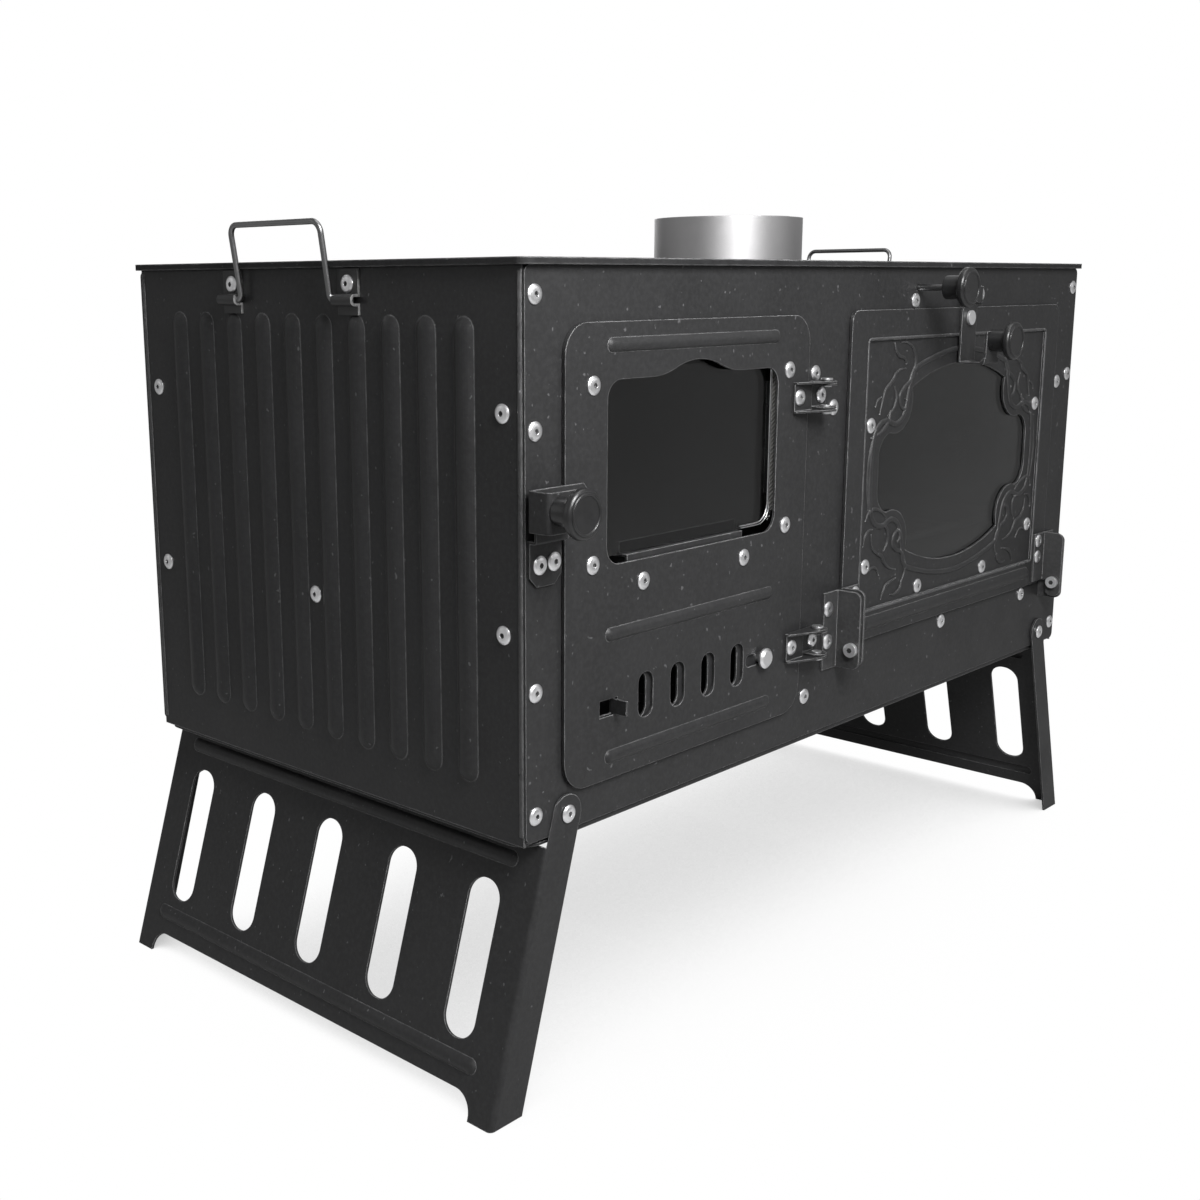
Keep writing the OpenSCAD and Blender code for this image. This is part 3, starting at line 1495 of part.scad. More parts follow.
module oven_door_bracket() {
    stand_x = [oven_x0 + flange_in, oven_x0 + flange_in + sheet_t];
    difference() {
        union() {
            block([stand_x[0], stand_x[0] + door_flat_w], [door_y - sheet_t, door_y], door_flange_z);
            end_sheet(stand_x) {
                half_rounded([-door_flange_reach, door_y], door_flange_z, flange_corner_r);
                rounded([-door_flange_reach, ear_inner_y], [ear_low, door_flange_z[0] + door_flat_w],
                    flange_corner_r);
            }
        }
        x_rod(pivot_y, pivot_z, pivot_r + run_fit, wider(stand_x, over));
        rivet_holes(oven_door_bracket_rivets, [door_y - sheet_t - over, over]);
    }
}
module oven_hinge_door_brackets() {
    color(paint) place() {
        oven_door_bracket();
        at_oven_right() oven_door_bracket();
    }
}

button_screw_r = 4.35;
button_screw_h = 2.6;
washer_r = 4;
nut_r = 4;
nut_h = 3.2;
nut_fit = 0.02;
module ring_x(outer, inner, x) {
    difference() {
        x_rod(0, 0, outer, x);
        x_rod(0, 0, inner, wider(x, over));
    }
}
module hex_nut(x) {
    difference() {
        translate([x[0], 0, 0]) rotate([0, 90, 0]) cylinder(h = x[1] - x[0], r = nut_r, $fn = 6);
        x_rod(0, 0, pivot_r + nut_fit, wider(x, over));
    }
}
module oven_hinge_screws() {
    body_x = [oven_x0 - body_flange_gap - sheet_t, oven_x0 - body_flange_gap];
    door_x = [oven_x0 + flange_in, oven_x0 + flange_in + sheet_t];
    left_nut = [door_x[1] + gap, door_x[1] + gap + nut_h];
    right_body = [oven_x1 + body_flange_gap, oven_x1 + body_flange_gap + sheet_t];
    right_door = [oven_x1 - flange_in - sheet_t, oven_x1 - flange_in];
    right_nut = [right_body[1], right_body[1] + nut_h];
    color(alu) place() translate([0, pivot_y, pivot_z]) {
        x_rod(0, 0, button_screw_r, [body_x[0] - button_screw_h, body_x[0]]);
        x_rod(0, 0, pivot_r, [body_x[0] - gap, left_nut[1] + gap]);
        ring_x(washer_r, pivot_r + nut_fit, [body_x[1], door_x[0] - gap]);
        hex_nut(left_nut);
        x_rod(0, 0, button_screw_r, [right_door[0] - gap - button_screw_h, right_door[0] - gap]);
        x_rod(0, 0, pivot_r, [right_door[0] - 2 * gap, right_nut[1] + gap]);
        ring_x(washer_r, pivot_r + nut_fit, [right_door[1] + gap, right_body[0]]);
        hex_nut(right_nut);
    }
}

// Oven latch: a bent strip on the door whose tongue swings behind the catch on the body

strip_half = 10;
strip_bottom_drop = 29.9;
strip_top_rise = 17.4;
shoulder_rise = 8.9;
tongue_x = [-5.5, 4.5];
strip_lip_top_drop = 8.6;
lip_half = 8;
lip_foot_h = 4;
strip_knob_aside = 0.5;
strip_knob_drop = 14.6;
lip_round = 1.5;
module oven_latch_strip() {
    back_y = door_y - gap;
    z = [oven_latch_z - strip_bottom_drop, oven_latch_z + strip_top_rise];
    lip_y = [-latch_lip_reach, sheet_t - latch_lip_reach];
    lip_top = oven_latch_z - strip_lip_top_drop;
    color(paint) place() translate([oven_latch_x, 0, 0]) difference() {
        union() {
            front_sheet([back_y - sheet_t, back_y]) polygon([
                [-strip_half, z[0]],
                [strip_half, z[0]],
                [strip_half, oven_latch_z + shoulder_rise],
                [tongue_x[1], oven_latch_z + shoulder_rise],
                [tongue_x[1], z[1]],
                [tongue_x[0], z[1]],
                [tongue_x[0], oven_latch_z + shoulder_rise],
                [-strip_half, oven_latch_z + tongue_x[1]]]);
            block(about(0, strip_half), [lip_y[0] + sheet_t, back_y], [z[0], z[0] + sheet_t]);
            block(about(0, strip_half), lip_y, [z[0] + lip_round, z[0] + lip_foot_h]);
            x_rod(lip_y[0] + lip_round, z[0] + lip_round, lip_round, about(0, strip_half));
            front_sheet(lip_y) rounded(about(0, lip_half), [z[0] + lip_round, lip_top], lip_round);
        }
        y_rod(0, oven_latch_z, rivet_r + run_fit, [back_y - sheet_t - over, over]);
        y_rod(strip_knob_aside, oven_latch_z - strip_knob_drop, screw_r + hole_fit, wider(lip_y, over));
    }
}

module oven_latch_knob() {
    color(bakelite) place() translate([oven_latch_x + strip_knob_aside, -latch_lip_reach,
        oven_latch_z - strip_knob_drop]) knob(screw_r + hole_fit);
}
module oven_latch_screw() {
    color(alu) place() translate([oven_latch_x + strip_knob_aside, -latch_lip_reach,
        oven_latch_z - strip_knob_drop]) knob_screw();
}
module oven_latch_pivot() {
    color(alu) place() latch_pivot(oven_latch_x, oven_latch_z);
}

oven_catch_x = 12;
oven_catch_w = 12.5;
oven_catch_lip = 6.2;
oven_catch_z = [9.7, 20.5];
oven_catch_corner_r = 3;
oven_catch_rivet = 7;
oven_catch_rivets = [[oven_latch_x + oven_catch_x + oven_catch_rivet,
    oven_latch_z + (oven_catch_z[0] + oven_catch_z[1]) / 2]];
module oven_catch() {
    x0 = oven_latch_x + oven_catch_x;
    z = [oven_latch_z + oven_catch_z[0], oven_latch_z + oven_catch_z[1]];
    color(paint) place() difference() {
        union() {
            front_sheet([-sheet_t, 0]) mirrored_about(x0 + oven_catch_w / 2)
                half_rounded([x0, x0 + oven_catch_w], z, oven_catch_corner_r);
            block([x0, x0 + sheet_t], [catch_lip_y, 0], z);
            block([x0 - oven_catch_lip, x0 + sheet_t], [catch_lip_y, catch_lip_y + sheet_t], z);
        }
        rivet_holes(oven_catch_rivets, [-sheet_t - over, over]);
    }
}
module mirrored_about(x) {
    translate([2 * x, 0]) mirror([1, 0]) children();
}

front_panel();
back_panel();
left_end_panel();
right_end_panel();
bottom_pan();
top_plate();
flue_collar();
firebox_side_wall();
firebox_side_liner();
grate();
grate_rails();
oven_box();
oven_rack();
damper_plate();
damper_rails();
damper_rod();
damper_rod_guide();
damper_knob();
left_leg();
right_leg();
leg_pivot_rivets();
left_bail();
right_bail();
bail_clips();
body_rivets();
firebox_door();
firebox_glass();
firebox_glass_seal();
firebox_glass_retainer();
firebox_door_rivets();
air_slider();
air_slider_guides();
air_slider_button();
firebox_hinge_door_brackets();
firebox_hinge_body_brackets();
firebox_hinge_pins();
firebox_latch_arm();
firebox_latch_knob();
firebox_latch_screw();
firebox_latch_pivot();
firebox_catch();
oven_door();
oven_glass();
oven_glass_retainer();
oven_door_rivets();
oven_hinge_door_brackets();
oven_hinge_body_brackets();
oven_hinge_screws();
oven_latch_strip();
oven_latch_knob();
oven_latch_screw();
oven_latch_pivot();
oven_catch();
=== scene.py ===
import json
import math

import bpy
from mathutils import Matrix, Vector


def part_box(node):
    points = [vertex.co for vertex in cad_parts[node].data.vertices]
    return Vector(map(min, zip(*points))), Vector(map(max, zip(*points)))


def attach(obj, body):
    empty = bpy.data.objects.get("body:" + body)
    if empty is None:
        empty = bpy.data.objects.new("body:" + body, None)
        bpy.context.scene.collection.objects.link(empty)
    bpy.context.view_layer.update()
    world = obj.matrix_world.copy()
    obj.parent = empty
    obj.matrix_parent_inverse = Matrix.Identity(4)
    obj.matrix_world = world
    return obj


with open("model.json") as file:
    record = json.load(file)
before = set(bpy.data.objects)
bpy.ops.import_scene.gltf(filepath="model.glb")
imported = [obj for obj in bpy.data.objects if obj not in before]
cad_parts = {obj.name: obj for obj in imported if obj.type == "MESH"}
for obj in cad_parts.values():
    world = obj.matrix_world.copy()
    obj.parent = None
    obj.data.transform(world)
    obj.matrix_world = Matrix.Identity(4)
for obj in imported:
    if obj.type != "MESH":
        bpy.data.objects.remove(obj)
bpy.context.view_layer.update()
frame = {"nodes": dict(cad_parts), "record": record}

# Body coordinates in millimetres: x from the left end, y from the front panel back,
# z from the body's lower edge. The row frame's origin lies on the floor, under the middle
# of the whole stove with its knobs.
MM = 0.001
MID_X, MID_Y, FLOOR_Z = 300.0, 142.8, -144.8295
BODY_L, BODY_D, BODY_H = 600.0, 320.0, 282.0


def at(x, y, z):
    """A body point as a point of the row frame, in metres."""
    return Vector(((x - MID_X) * MM, (y - MID_Y) * MM, (z - FLOOR_Z) * MM))


def body_mm(point):
    """A point of the row frame as a body point."""
    return (point[0] / MM + MID_X, point[1] / MM + MID_Y, point[2] / MM + FLOOR_Z)


def add_object(name, data):
    obj = bpy.data.objects.new(name, data)
    bpy.context.scene.collection.objects.link(obj)
    return obj


# Camera: its focal length and centre in pixels of the photograph, its place in body
# millimetres

PHOTO_SIDE = 1200
FOCAL = 1470.163
CENTRE = (514.233, 590.271)
SENSOR = 36.0
CAMERA_PLACE = (-500.109, -473.249, 273.309)
CAMERA_RIGHT = Vector((0.692188, -0.721700, -0.005007))
CAMERA_UP = Vector((0.150829, 0.137869, 0.978899))
camera_data = bpy.data.cameras.new("camera")
camera_data.sensor_fit = "HORIZONTAL"
camera_data.sensor_width = SENSOR
camera_data.lens = FOCAL / PHOTO_SIDE * SENSOR
camera_data.shift_x = (PHOTO_SIDE / 2 - CENTRE[0]) / PHOTO_SIDE
camera_data.shift_y = (CENTRE[1] - PHOTO_SIDE / 2) / PHOTO_SIDE
camera_data.clip_start = 0.02
camera_data.clip_end = 60
camera = add_object("camera", camera_data)
turn = Matrix((CAMERA_RIGHT, CAMERA_UP, CAMERA_RIGHT.cross(CAMERA_UP))).transposed().to_4x4()
camera.matrix_world = Matrix.Translation(at(*CAMERA_PLACE)) @ turn
bpy.context.scene.camera = camera


# Shader helpers

BEVEL_SAMPLES = 4


class Nodes:
    """The node tree of a material or world, with short ways to add nodes."""

    def __init__(self, owner):
        owner.use_nodes = True
        self.tree = owner.node_tree
        self.tree.nodes.clear()

    def new(self, kind, **values):
        """A new node, with the inputs that values names set, _ standing for a space."""
        node = self.tree.nodes.new(kind)
        for name, value in values.items():
            node.inputs[name.replace("_", " ")].default_value = value
        return node

    def link(self, a, b):
        self.tree.links.new(a, b)

    def maths(self, kind, *values):
        node = self.new("ShaderNodeMath")
        node.operation = kind
        for socket, value in zip(node.inputs, values):
            if isinstance(value, (int, float)):
                socket.default_value = value
            else:
                self.link(value, socket)
        return node.outputs[0]

    def mix_shaders(self, fac, a, b):
        node = self.new("ShaderNodeMixShader")
        for value, socket in zip((fac, a, b), node.inputs):
            self.link(value, socket)
        return node.outputs[0]

    def seen_white(self, glossy_share):
        """1 for camera and transmission rays, a share for glossy ones, 0 for the others."""
        path = self.new("ShaderNodeLightPath")
        seen = self.maths("MAXIMUM", path.outputs["Is Camera Ray"],
                          path.outputs["Is Transmission Ray"])
        return self.maths("MULTIPLY_ADD", path.outputs["Is Glossy Ray"], glossy_share, seen)


class Shader(Nodes):
    """A material round one principled shader."""

    def __init__(self, name):
        self.material = bpy.data.materials.new(name)
        super().__init__(self.material)
        self.out = self.new("ShaderNodeOutputMaterial")
        self.bsdf = self.new("ShaderNodeBsdfPrincipled")
        self.surface(self.bsdf.outputs[0])
        self.place = self.new("ShaderNodeTexCoord").outputs["Object"]

    def surface(self, shader):
        self.link(shader, self.out.inputs["Surface"])

    def put(self, **values):
        """Sets inputs of the shader, each to a constant or from another node."""
        for name, value in values.items():
            socket = self.bsdf.inputs[name.replace("_", " ")]
            if isinstance(value, bpy.types.NodeSocket):
                self.link(value, socket)
            else:
                socket.default_value = value

    def scaled(self, scale):
        node = self.new("ShaderNodeMapping", Scale=scale)
        self.link(self.place, node.inputs["Vector"])
        return node.outputs[0]

    def noise(self, scale, detail=3.0, rough=0.55, where=None):
        node = self.new("ShaderNodeTexNoise", Scale=scale, Detail=detail, Roughness=rough)
        self.link(where or self.place, node.inputs["Vector"])
        return node.outputs["Fac"]

    def ramp(self, value, *stops):
        """Stops are pairs of a place and a grey or a colour."""
        node = self.new("ShaderNodeValToRGB")
        elements = node.color_ramp.elements
        elements[0].position = stops[0][0]
        elements[1].position = stops[-1][0]
        for place, _ in stops[1:-1]:
            elements.new(place)
        for element, (_, tone) in zip(elements, stops):
            colour = (tone,) * 3 if isinstance(tone, float) else tone
            element.color = (*colour, 1)
        self.link(value, node.inputs["Fac"])
        return node.outputs["Color"]

    def mix(self, fac, a, b):
        node = self.new("ShaderNodeMix")
        node.data_type = "RGBA"
        for name, value in (("Factor", fac), ("A", a), ("B", b)):
            if isinstance(value, tuple):
                node.inputs[name].default_value = (*value, 1)
            else:
                self.link(value, node.inputs[name])
        return node.outputs["Result"]

    def bump(self, height, strength, distance, under=None):
        node = self.new("ShaderNodeBump", Strength=strength, Distance=distance)
        self.link(height, node.inputs["Height"])
        if under is not None:
            self.link(under, node.inputs["Normal"])
        self.put(Normal=node.outputs[0])

    def round_edges(self, radius):
        node = self.new("ShaderNodeBevel", Radius=radius)
        node.samples = BEVEL_SAMPLES
        return node.outputs[0]

    def true_normal(self):
        return self.new("ShaderNodeNewGeometry").outputs["True Normal"]

    def edge_mask(self, rounded, sharpness):
        """0 on flat faces, and more where the rounded normal leaves the true one."""
        dot = self.new("ShaderNodeVectorMath")
        dot.operation = "DOT_PRODUCT"
        self.link(rounded, dot.inputs[0])
        self.link(self.true_normal(), dot.inputs[1])
        apart = self.maths("SUBTRACT", 1.0, dot.outputs["Value"])
        return self.maths("MULTIPLY", apart, sharpness)


def shade(colour, factor):
    return tuple(min(1.0, c * factor) for c in colour)


# Materials

PAINT_BLACK = (0.0175, 0.0175, 0.018)
# Lighter colour of the sheet edges: partly rubbed paint, partly a painted highlight along the
# bends
RUBBED_AND_HIGHLIGHT = (0.30, 0.30, 0.303)
# Radii of the rounded edges; the panels' larger one also widens their painted edge highlight
SHEET_BEND, PANEL_BEND = 0.0008, 0.0014
BARE_CUT = (0.5, 0.5, 0.5)


def paint(name, base, rough, wear_and_highlight=0.85, bend=SHEET_BEND, shine=0.28):
    """Matte heat-proof paint on sheet steel: fine texture, dusty patches, and lighter edges,
    partly rubbed paint and partly a painted highlight along the bends.
    bend is the radius of its rounded edges, in metres, and so how wide the lighter edges are."""
    s = Shader(name)
    rounded = s.round_edges(bend)
    dust = s.noise(14, 4, 0.6)
    mottle = s.noise(380, 3, 0.6)
    speck = s.noise(330, 1, 0.5, s.scaled((1.0, 1.3, 0.9)))
    tone = s.ramp(dust, (0.3, shade(base, 0.86)), (0.7, shade(base, 1.14)))
    tone = s.mix(s.ramp(mottle, (0.4, 0.0), (0.75, 0.5)), tone, shade(base, 1.9))
    tone = s.mix(s.ramp(speck, (0.735, 0.0), (0.775, 0.9)), tone, shade(base, 5.0))
    patches = s.ramp(s.noise(120, 3, 0.6), (0.35, 0.25), (0.65, wear_and_highlight))
    # Edges take the lighter colour: partly rubbed paint, partly a painted highlight along the
    # bends
    worn_and_highlit = s.maths("MULTIPLY", s.edge_mask(rounded, 5.0), patches)
    s.put(Base_Color=s.mix(s.maths("MINIMUM", worn_and_highlit, 1.0), tone, RUBBED_AND_HIGHLIGHT),
          Roughness=s.ramp(s.noise(30, 5, 0.6), (0.3, rough - 0.05), (0.7, rough + 0.06)),
          Specular_IOR_Level=shine)
    s.bump(s.noise(650, 3, 0.65), 0.16, 0.0003, rounded)
    return s.material


def bare_metal(name, base, rough, scale, depth=0.08, stain=0.12):
    """Bare metal with a fine grain; stain is how far its tone varies."""
    s = Shader(name)
    grain = s.noise(scale, 3, 0.6)
    cloud = s.noise(25, 4, 0.6)
    s.put(Base_Color=s.ramp(cloud, (0.3, shade(base, 1 - stain)), (0.7, shade(base, 1 + stain))),
          Roughness=s.ramp(grain, (0.3, rough - 0.05), (0.7, rough + 0.07)),
          Metallic=1.0)
    s.bump(grain, depth, 0.0002, s.round_edges(0.0003))
    return s.material


def make_bakelite():
    s = Shader("bakelite")
    s.put(Base_Color=s.ramp(s.noise(220), (0.3, (0.007, 0.007, 0.0072)),
                            (0.7, (0.011, 0.011, 0.0115))),
          Roughness=s.ramp(s.noise(60, 4, 0.6), (0.3, 0.26), (0.7, 0.36)),
          Specular_IOR_Level=0.6)
    s.bump(s.noise(700), 0.06, 0.0002, s.round_edges(0.0008))
    return s.material


def make_glass():
    """Smoked stove glass. Shadow rays pass it, so that the inside gets some light."""
    s = Shader("stove_glass")
    s.put(Base_Color=s.ramp(s.noise(9, 2), (0.3, (0.17, 0.173, 0.173)),
                            (0.7, (0.20, 0.203, 0.203))),
          Roughness=s.ramp(s.noise(12, 2, 0.5), (0.35, 0.10), (0.7, 0.13)),
          Transmission_Weight=1.0, IOR=1.46)
    clear = s.new("ShaderNodeBsdfTransparent", Color=(0.6, 0.6, 0.6, 1))
    shadow = s.new("ShaderNodeLightPath").outputs["Is Shadow Ray"]
    s.surface(s.mix_shaders(shadow, s.bsdf.outputs[0], clear.outputs[0]))
    return s.material


def make_rope():
    s = Shader("rope_seal")
    wave = s.new("ShaderNodeTexWave", Scale=260, Distortion=1.5)
    wave.bands_direction = "DIAGONAL"
    s.link(s.place, wave.inputs["Vector"])
    twist = wave.outputs["Fac"]
    s.put(Base_Color=s.ramp(twist, (0.2, (0.03, 0.03, 0.028)), (0.8, (0.10, 0.10, 0.095))),
          Roughness=0.9)
    s.bump(twist, 0.8, 0.0006)
    return s.material


def make_iron():
    s = Shader("cast_iron")
    s.put(Base_Color=s.ramp(s.noise(60, 5), (0.3, (0.018, 0.017, 0.016)),
                            (0.7, (0.04, 0.038, 0.035))),
          Roughness=0.72, Metallic=0.3)
    s.bump(s.noise(420, 5, 0.7), 0.5, 0.0006, s.round_edges(0.0008))
    return s.material


def make_clip():
    """The clips' paint, with the sheared edges, which face along y, left bare."""
    s = Shader("clip_paint")
    parts = s.new("ShaderNodeSeparateXYZ")
    s.link(s.true_normal(), parts.inputs[0])
    cut = s.maths("GREATER_THAN", s.maths("ABSOLUTE", parts.outputs["Y"]), 0.9)
    bare = s.maths("MULTIPLY", cut, s.ramp(s.noise(300), (0.35, 0.35), (0.55, 1.0)))
    s.put(Base_Color=s.mix(bare, PAINT_BLACK, BARE_CUT), Metallic=bare,
          Roughness=s.ramp(s.noise(80), (0.3, 0.38), (0.7, 0.5)))
    s.bump(s.noise(1100, 3, 0.6), 0.10, 0.0002, s.round_edges(0.0004))
    return s.material


black = paint("black_paint", PAINT_BLACK, 0.45)
formed = paint("formed_paint", PAINT_BLACK, 0.42, bend=PANEL_BEND)
plate_paint = paint("plate_paint", PAINT_BLACK, 0.62, bend=PANEL_BEND, shine=0.14)
# Lighter, glossier paint for the end bends and the recess shoulder: a painted highlight along
# them
bend_highlight_paint = paint("bend_highlight_paint", (0.045, 0.045, 0.046), 0.3, wear_and_highlight=0.95)
# Slightly lighter paint for the oven hinge brackets: a painted patch of light on them
bracket_highlight_paint = paint("bracket_highlight_paint", (0.034, 0.034, 0.0345), 0.42)
inner_steel = paint("inner_steel", (0.018, 0.018, 0.018), 0.62, wear_and_highlight=0.2)
steel_wire = bare_metal("steel_wire", (0.22, 0.22, 0.222), 0.32, 1500)
aluminium = bare_metal("rivet_aluminium", (0.84, 0.84, 0.85), 0.34, 1800, depth=0.12)
screw_steel = bare_metal("screw_steel", (0.85, 0.85, 0.86), 0.46, 1800, depth=0.12)
# Dark steel for the rivets' mandrel stems, and for the discs that paint the shade in the screw
# sockets
mandrel_steel_and_socket_shade = bare_metal("mandrel_steel_and_socket_shade", (0.10, 0.10, 0.10), 0.5, 1500)
# Bright bare metal for the strip that paints the highlight along the firebox glass's edge
highlight_strip_steel = bare_metal("highlight_strip_steel", (0.62, 0.62, 0.63), 0.3, 1500)
stainless = bare_metal("stainless", (0.44, 0.435, 0.44), 0.5, 1300, depth=0.16, stain=0.05)
bakelite = make_bakelite()
clip_paint = make_clip()

FINISH = {
    "black_paint": black, "inner_steel": inner_steel, "stainless": stainless,
    "steel_wire": steel_wire, "cast_iron": make_iron(), "rivet_aluminium": aluminium,
    "bakelite": bakelite, "stove_glass": make_glass(), "rope_seal": make_rope(),
}
OWN_FINISH = {
    "bail_clips": clip_paint, "left_end_panel": formed, "right_end_panel": formed,
    "top_plate": plate_paint, "oven_hinge_body_brackets": bracket_highlight_paint,
    "oven_hinge_door_brackets": bracket_highlight_paint, "oven_hinge_screws": screw_steel,
    "oven_latch_pivot": screw_steel,
}
slot_of = {part["node"]: part["material_slot"] for part in frame["record"]["subparts"]}
for name, obj in frame["nodes"].items():
    obj.data.materials.clear()
    obj.data.materials.append(OWN_FINISH.get(name, FINISH[slot_of[name]]))


# Mesh helpers: each shape is a list of body points and a list of faces

def join(shapes):
    verts, faces = [], []
    for more_verts, more_faces in shapes:
        faces += [tuple(len(verts) + i for i in face) for face in more_faces]
        verts += more_verts
    return verts, faces


def new_piece(name, shape, material, body, smooth=True):
    verts, faces = shape
    mesh = bpy.data.meshes.new(name)
    mesh.from_pydata([at(*v) for v in verts], [], faces)
    mesh.validate()
    mesh.update()
    for polygon in mesh.polygons:
        polygon.use_smooth = smooth
    mesh.materials.append(material)
    piece = add_object(name, mesh)
    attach(piece, body)


def smooth_path(points, steps, closed=False):
    """Points of a Catmull-Rom curve through the given ones, steps to each span."""
    n = len(points)
    path = []
    for i in range(n if closed else n - 1):
        if closed:
            a, b, c, d = (points[(i + k) % n] for k in (-1, 0, 1, 2))
        else:
            a, b = points[max(i - 1, 0)], points[i]
            c, d = points[i + 1], points[min(i + 2, n - 1)]
        for j in range(steps):
            t = j / steps
            path.append(tuple(
                0.5 * (2 * b[k] + (c[k] - a[k]) * t
                       + (2 * a[k] - 5 * b[k] + 4 * c[k] - d[k]) * t * t
                       + (3 * b[k] - a[k] - 3 * c[k] + d[k]) * t ** 3) for k in (0, 1)))
    if not closed:
        path.append(tuple(points[-1]))
    return path


def rounded_loop(span_x, span_z, radius, steps=5):
    """A closed path round a rectangle with rounded corners."""
    path = []
    corners = ((1, 1, 0), (0, 1, 90), (0, 0, 180), (1, 0, 270))
    for i, k, start in corners:
        centre_x = span_x[i] + (radius if i == 0 else -radius)
        centre_z = span_z[k] + (radius if k == 0 else -radius)
        for step in range(steps + 1):
            a = math.radians(start + 90 * step / steps)
            path.append((centre_x + radius * math.cos(a), centre_z + radius * math.sin(a)))
    return path


def width_at(widths, share):
    """The width at a share of the way, from those at the start, middle and end."""
    start, middle, end = widths
    if share < 0.5:
        return start + (middle - start) * 2 * share
    return middle + (end - middle) * (2 * share - 1)


# A ridge's facets across, how deep its feet are sunk, the width from which it has its full
# height, and its profile's power: 1 is a half ellipse, and less is fuller
ARC = 8
SUNK = 0.05
FULL_WIDTH = 2.2
ARC_POWER = 0.8


def stroke(path, widths, closed, face_y, high):
    """A raised rounded ridge on the face at face_y, along a path in x and z.
    A closed one has a single width. Ridges under FULL_WIDTH are lower in proportion."""
    verts, faces = [], []
    n = len(path)
    row = ARC + 1
    for i, (x, z) in enumerate(path):
        if closed:
            back, ahead = path[i - 1], path[(i + 1) % n]
            width = widths[0]
        else:
            back, ahead = path[max(i - 1, 0)], path[min(i + 1, n - 1)]
            width = width_at(widths, i / (n - 1))
        dx, dz = ahead[0] - back[0], ahead[1] - back[1]
        size = math.hypot(dx, dz) or 1
        nx, nz = -dz / size, dx / size
        top = high * min(1.0, width / FULL_WIDTH)
        for k in range(row):
            a = math.pi * k / ARC
            out = face_y + SUNK - (top + SUNK) * math.sin(a) ** ARC_POWER
            verts.append((x + nx * math.cos(a) * width / 2, out,
                          z + nz * math.cos(a) * width / 2))
    for i in range(n if closed else n - 1):
        a, b = i * row, (i + 1) % n * row
        for k in range(ARC):
            faces.append((a + k, a + k + 1, b + k + 1, b + k))
    if not closed:
        faces.append(tuple(range(row)))
        faces.append(tuple((n - 1) * row + k for k in reversed(range(row))))
    return verts, faces


def turned(centre, rings, axis, count):
    """A shape turned about the x or y axis through centre: rings are (along it, radius)."""
    verts, faces = [], []
    for along, r in rings:
        for k in range(count):
            a = 2 * math.pi * k / count
            u, v = r * math.cos(a), r * math.sin(a)
            step = (along, u, v) if axis == "x" else (u, along, v)
            verts.append(tuple(c + s for c, s in zip(centre, step)))
    for i in range(len(rings) - 1):
        for k in range(count):
            a, b = i * count + k, i * count + (k + 1) % count
            faces.append((a, b, b + count, a + count))
    return verts, faces


# Oven door relief: the ridge round the window and the corner scrolls, mirrored about its middle

OVEN_X, WINDOW_Z, RECESS_Y = 425.0, 154.4, -1.0
RELIEF_H, RIDGE_W, CURVE_STEPS = 1.15, 3.6, 6
# A quarter of the ridge, about the window's centre
RIDGE = [
    (0, 75.5), (30, 72.5), (58, 66), (66, 61.5), (69, 52), (74, 36.5), (84, 30.5), (96, 33.5),
    (106, 30), (111, 20), (112.5, 0),
]
# Each scroll's points, and its widths at the start, middle and end
TOP_SCROLLS = [
    ([(343, 236), (351, 235.5), (358.5, 231.5), (362, 224.5), (360.5, 216.5), (355.5, 210.5),
      (349, 207), (344.5, 202.5), (345.5, 196.5), (350.5, 193.5), (353.5, 197), (350.5, 200.5)],
     (1.0, 3.4, 1.2)),
    ([(335, 236), (337, 231), (341.5, 227.5), (347.5, 226), (350.5, 222.5)], (1.0, 2.6, 1.6)),
    ([(350, 219.5), (343, 219), (337.5, 216.5), (334.5, 212.5), (326.5, 207.5), (323.5, 201.5),
      (320.5, 192)], (0.8, 3.0, 1.0)),
    ([(333.5, 194), (332, 188.5), (327.5, 183.5), (320, 180), (311, 178)], (1.4, 3.0, 0.8)),
    ([(315, 197), (317, 201), (322, 203)], (0.8, 1.8, 0.8)),
    ([(337, 209), (340, 202), (337, 195), (330, 190.5)], (0.8, 2.4, 0.8)),
    ([(313, 176), (309.5, 165), (308.5, 152), (310, 140), (311.5, 133)], (0.8, 2.2, 0.8)),
]
LOW_SCROLLS = [
    ([(357, 80), (361, 87), (360, 95), (354, 101), (348.5, 103), (344, 107), (345, 113),
      (350, 115.5), (353, 111.5), (350, 108)], (1.0, 3.4, 1.2)),
    ([(357, 81), (355.5, 76.5), (349.5, 73.5), (343, 74)], (1.4, 2.6, 0.8)),
    ([(332, 72.5), (334, 77), (338, 81), (344, 83), (350, 84)], (1.0, 3.0, 0.9)),
    ([(349, 90), (341, 92), (334.5, 96), (330, 101.5), (323.5, 104), (318, 109), (316.5, 117)],
     (0.8, 3.0, 1.0)),
    ([(333, 104), (337, 110), (336, 117.5), (330.5, 121.5), (324, 122)], (1.0, 2.6, 0.8)),
    ([(307.5, 110), (308.5, 115.5), (312.5, 119.5), (318, 120)], (1.0, 2.6, 0.8)),
    ([(309, 126), (312, 131), (318.5, 133), (327, 130.5), (334, 125.5)], (1.0, 2.6, 0.8)),
    ([(312, 92), (318, 95), (324, 94), (328, 89)], (0.8, 2.2, 0.8)),
]


def window_ridge():
    loop = RIDGE + [(x, -z) for x, z in reversed(RIDGE[:-1])]
    loop += [(-x, z) for x, z in reversed(loop[1:-1])]
    path = smooth_path(loop, CURVE_STEPS, closed=True)
    return [(OVEN_X + x, WINDOW_Z + z) for x, z in path]


def mirrored(path):
    return [(2 * OVEN_X - x, z) for x, z in path]


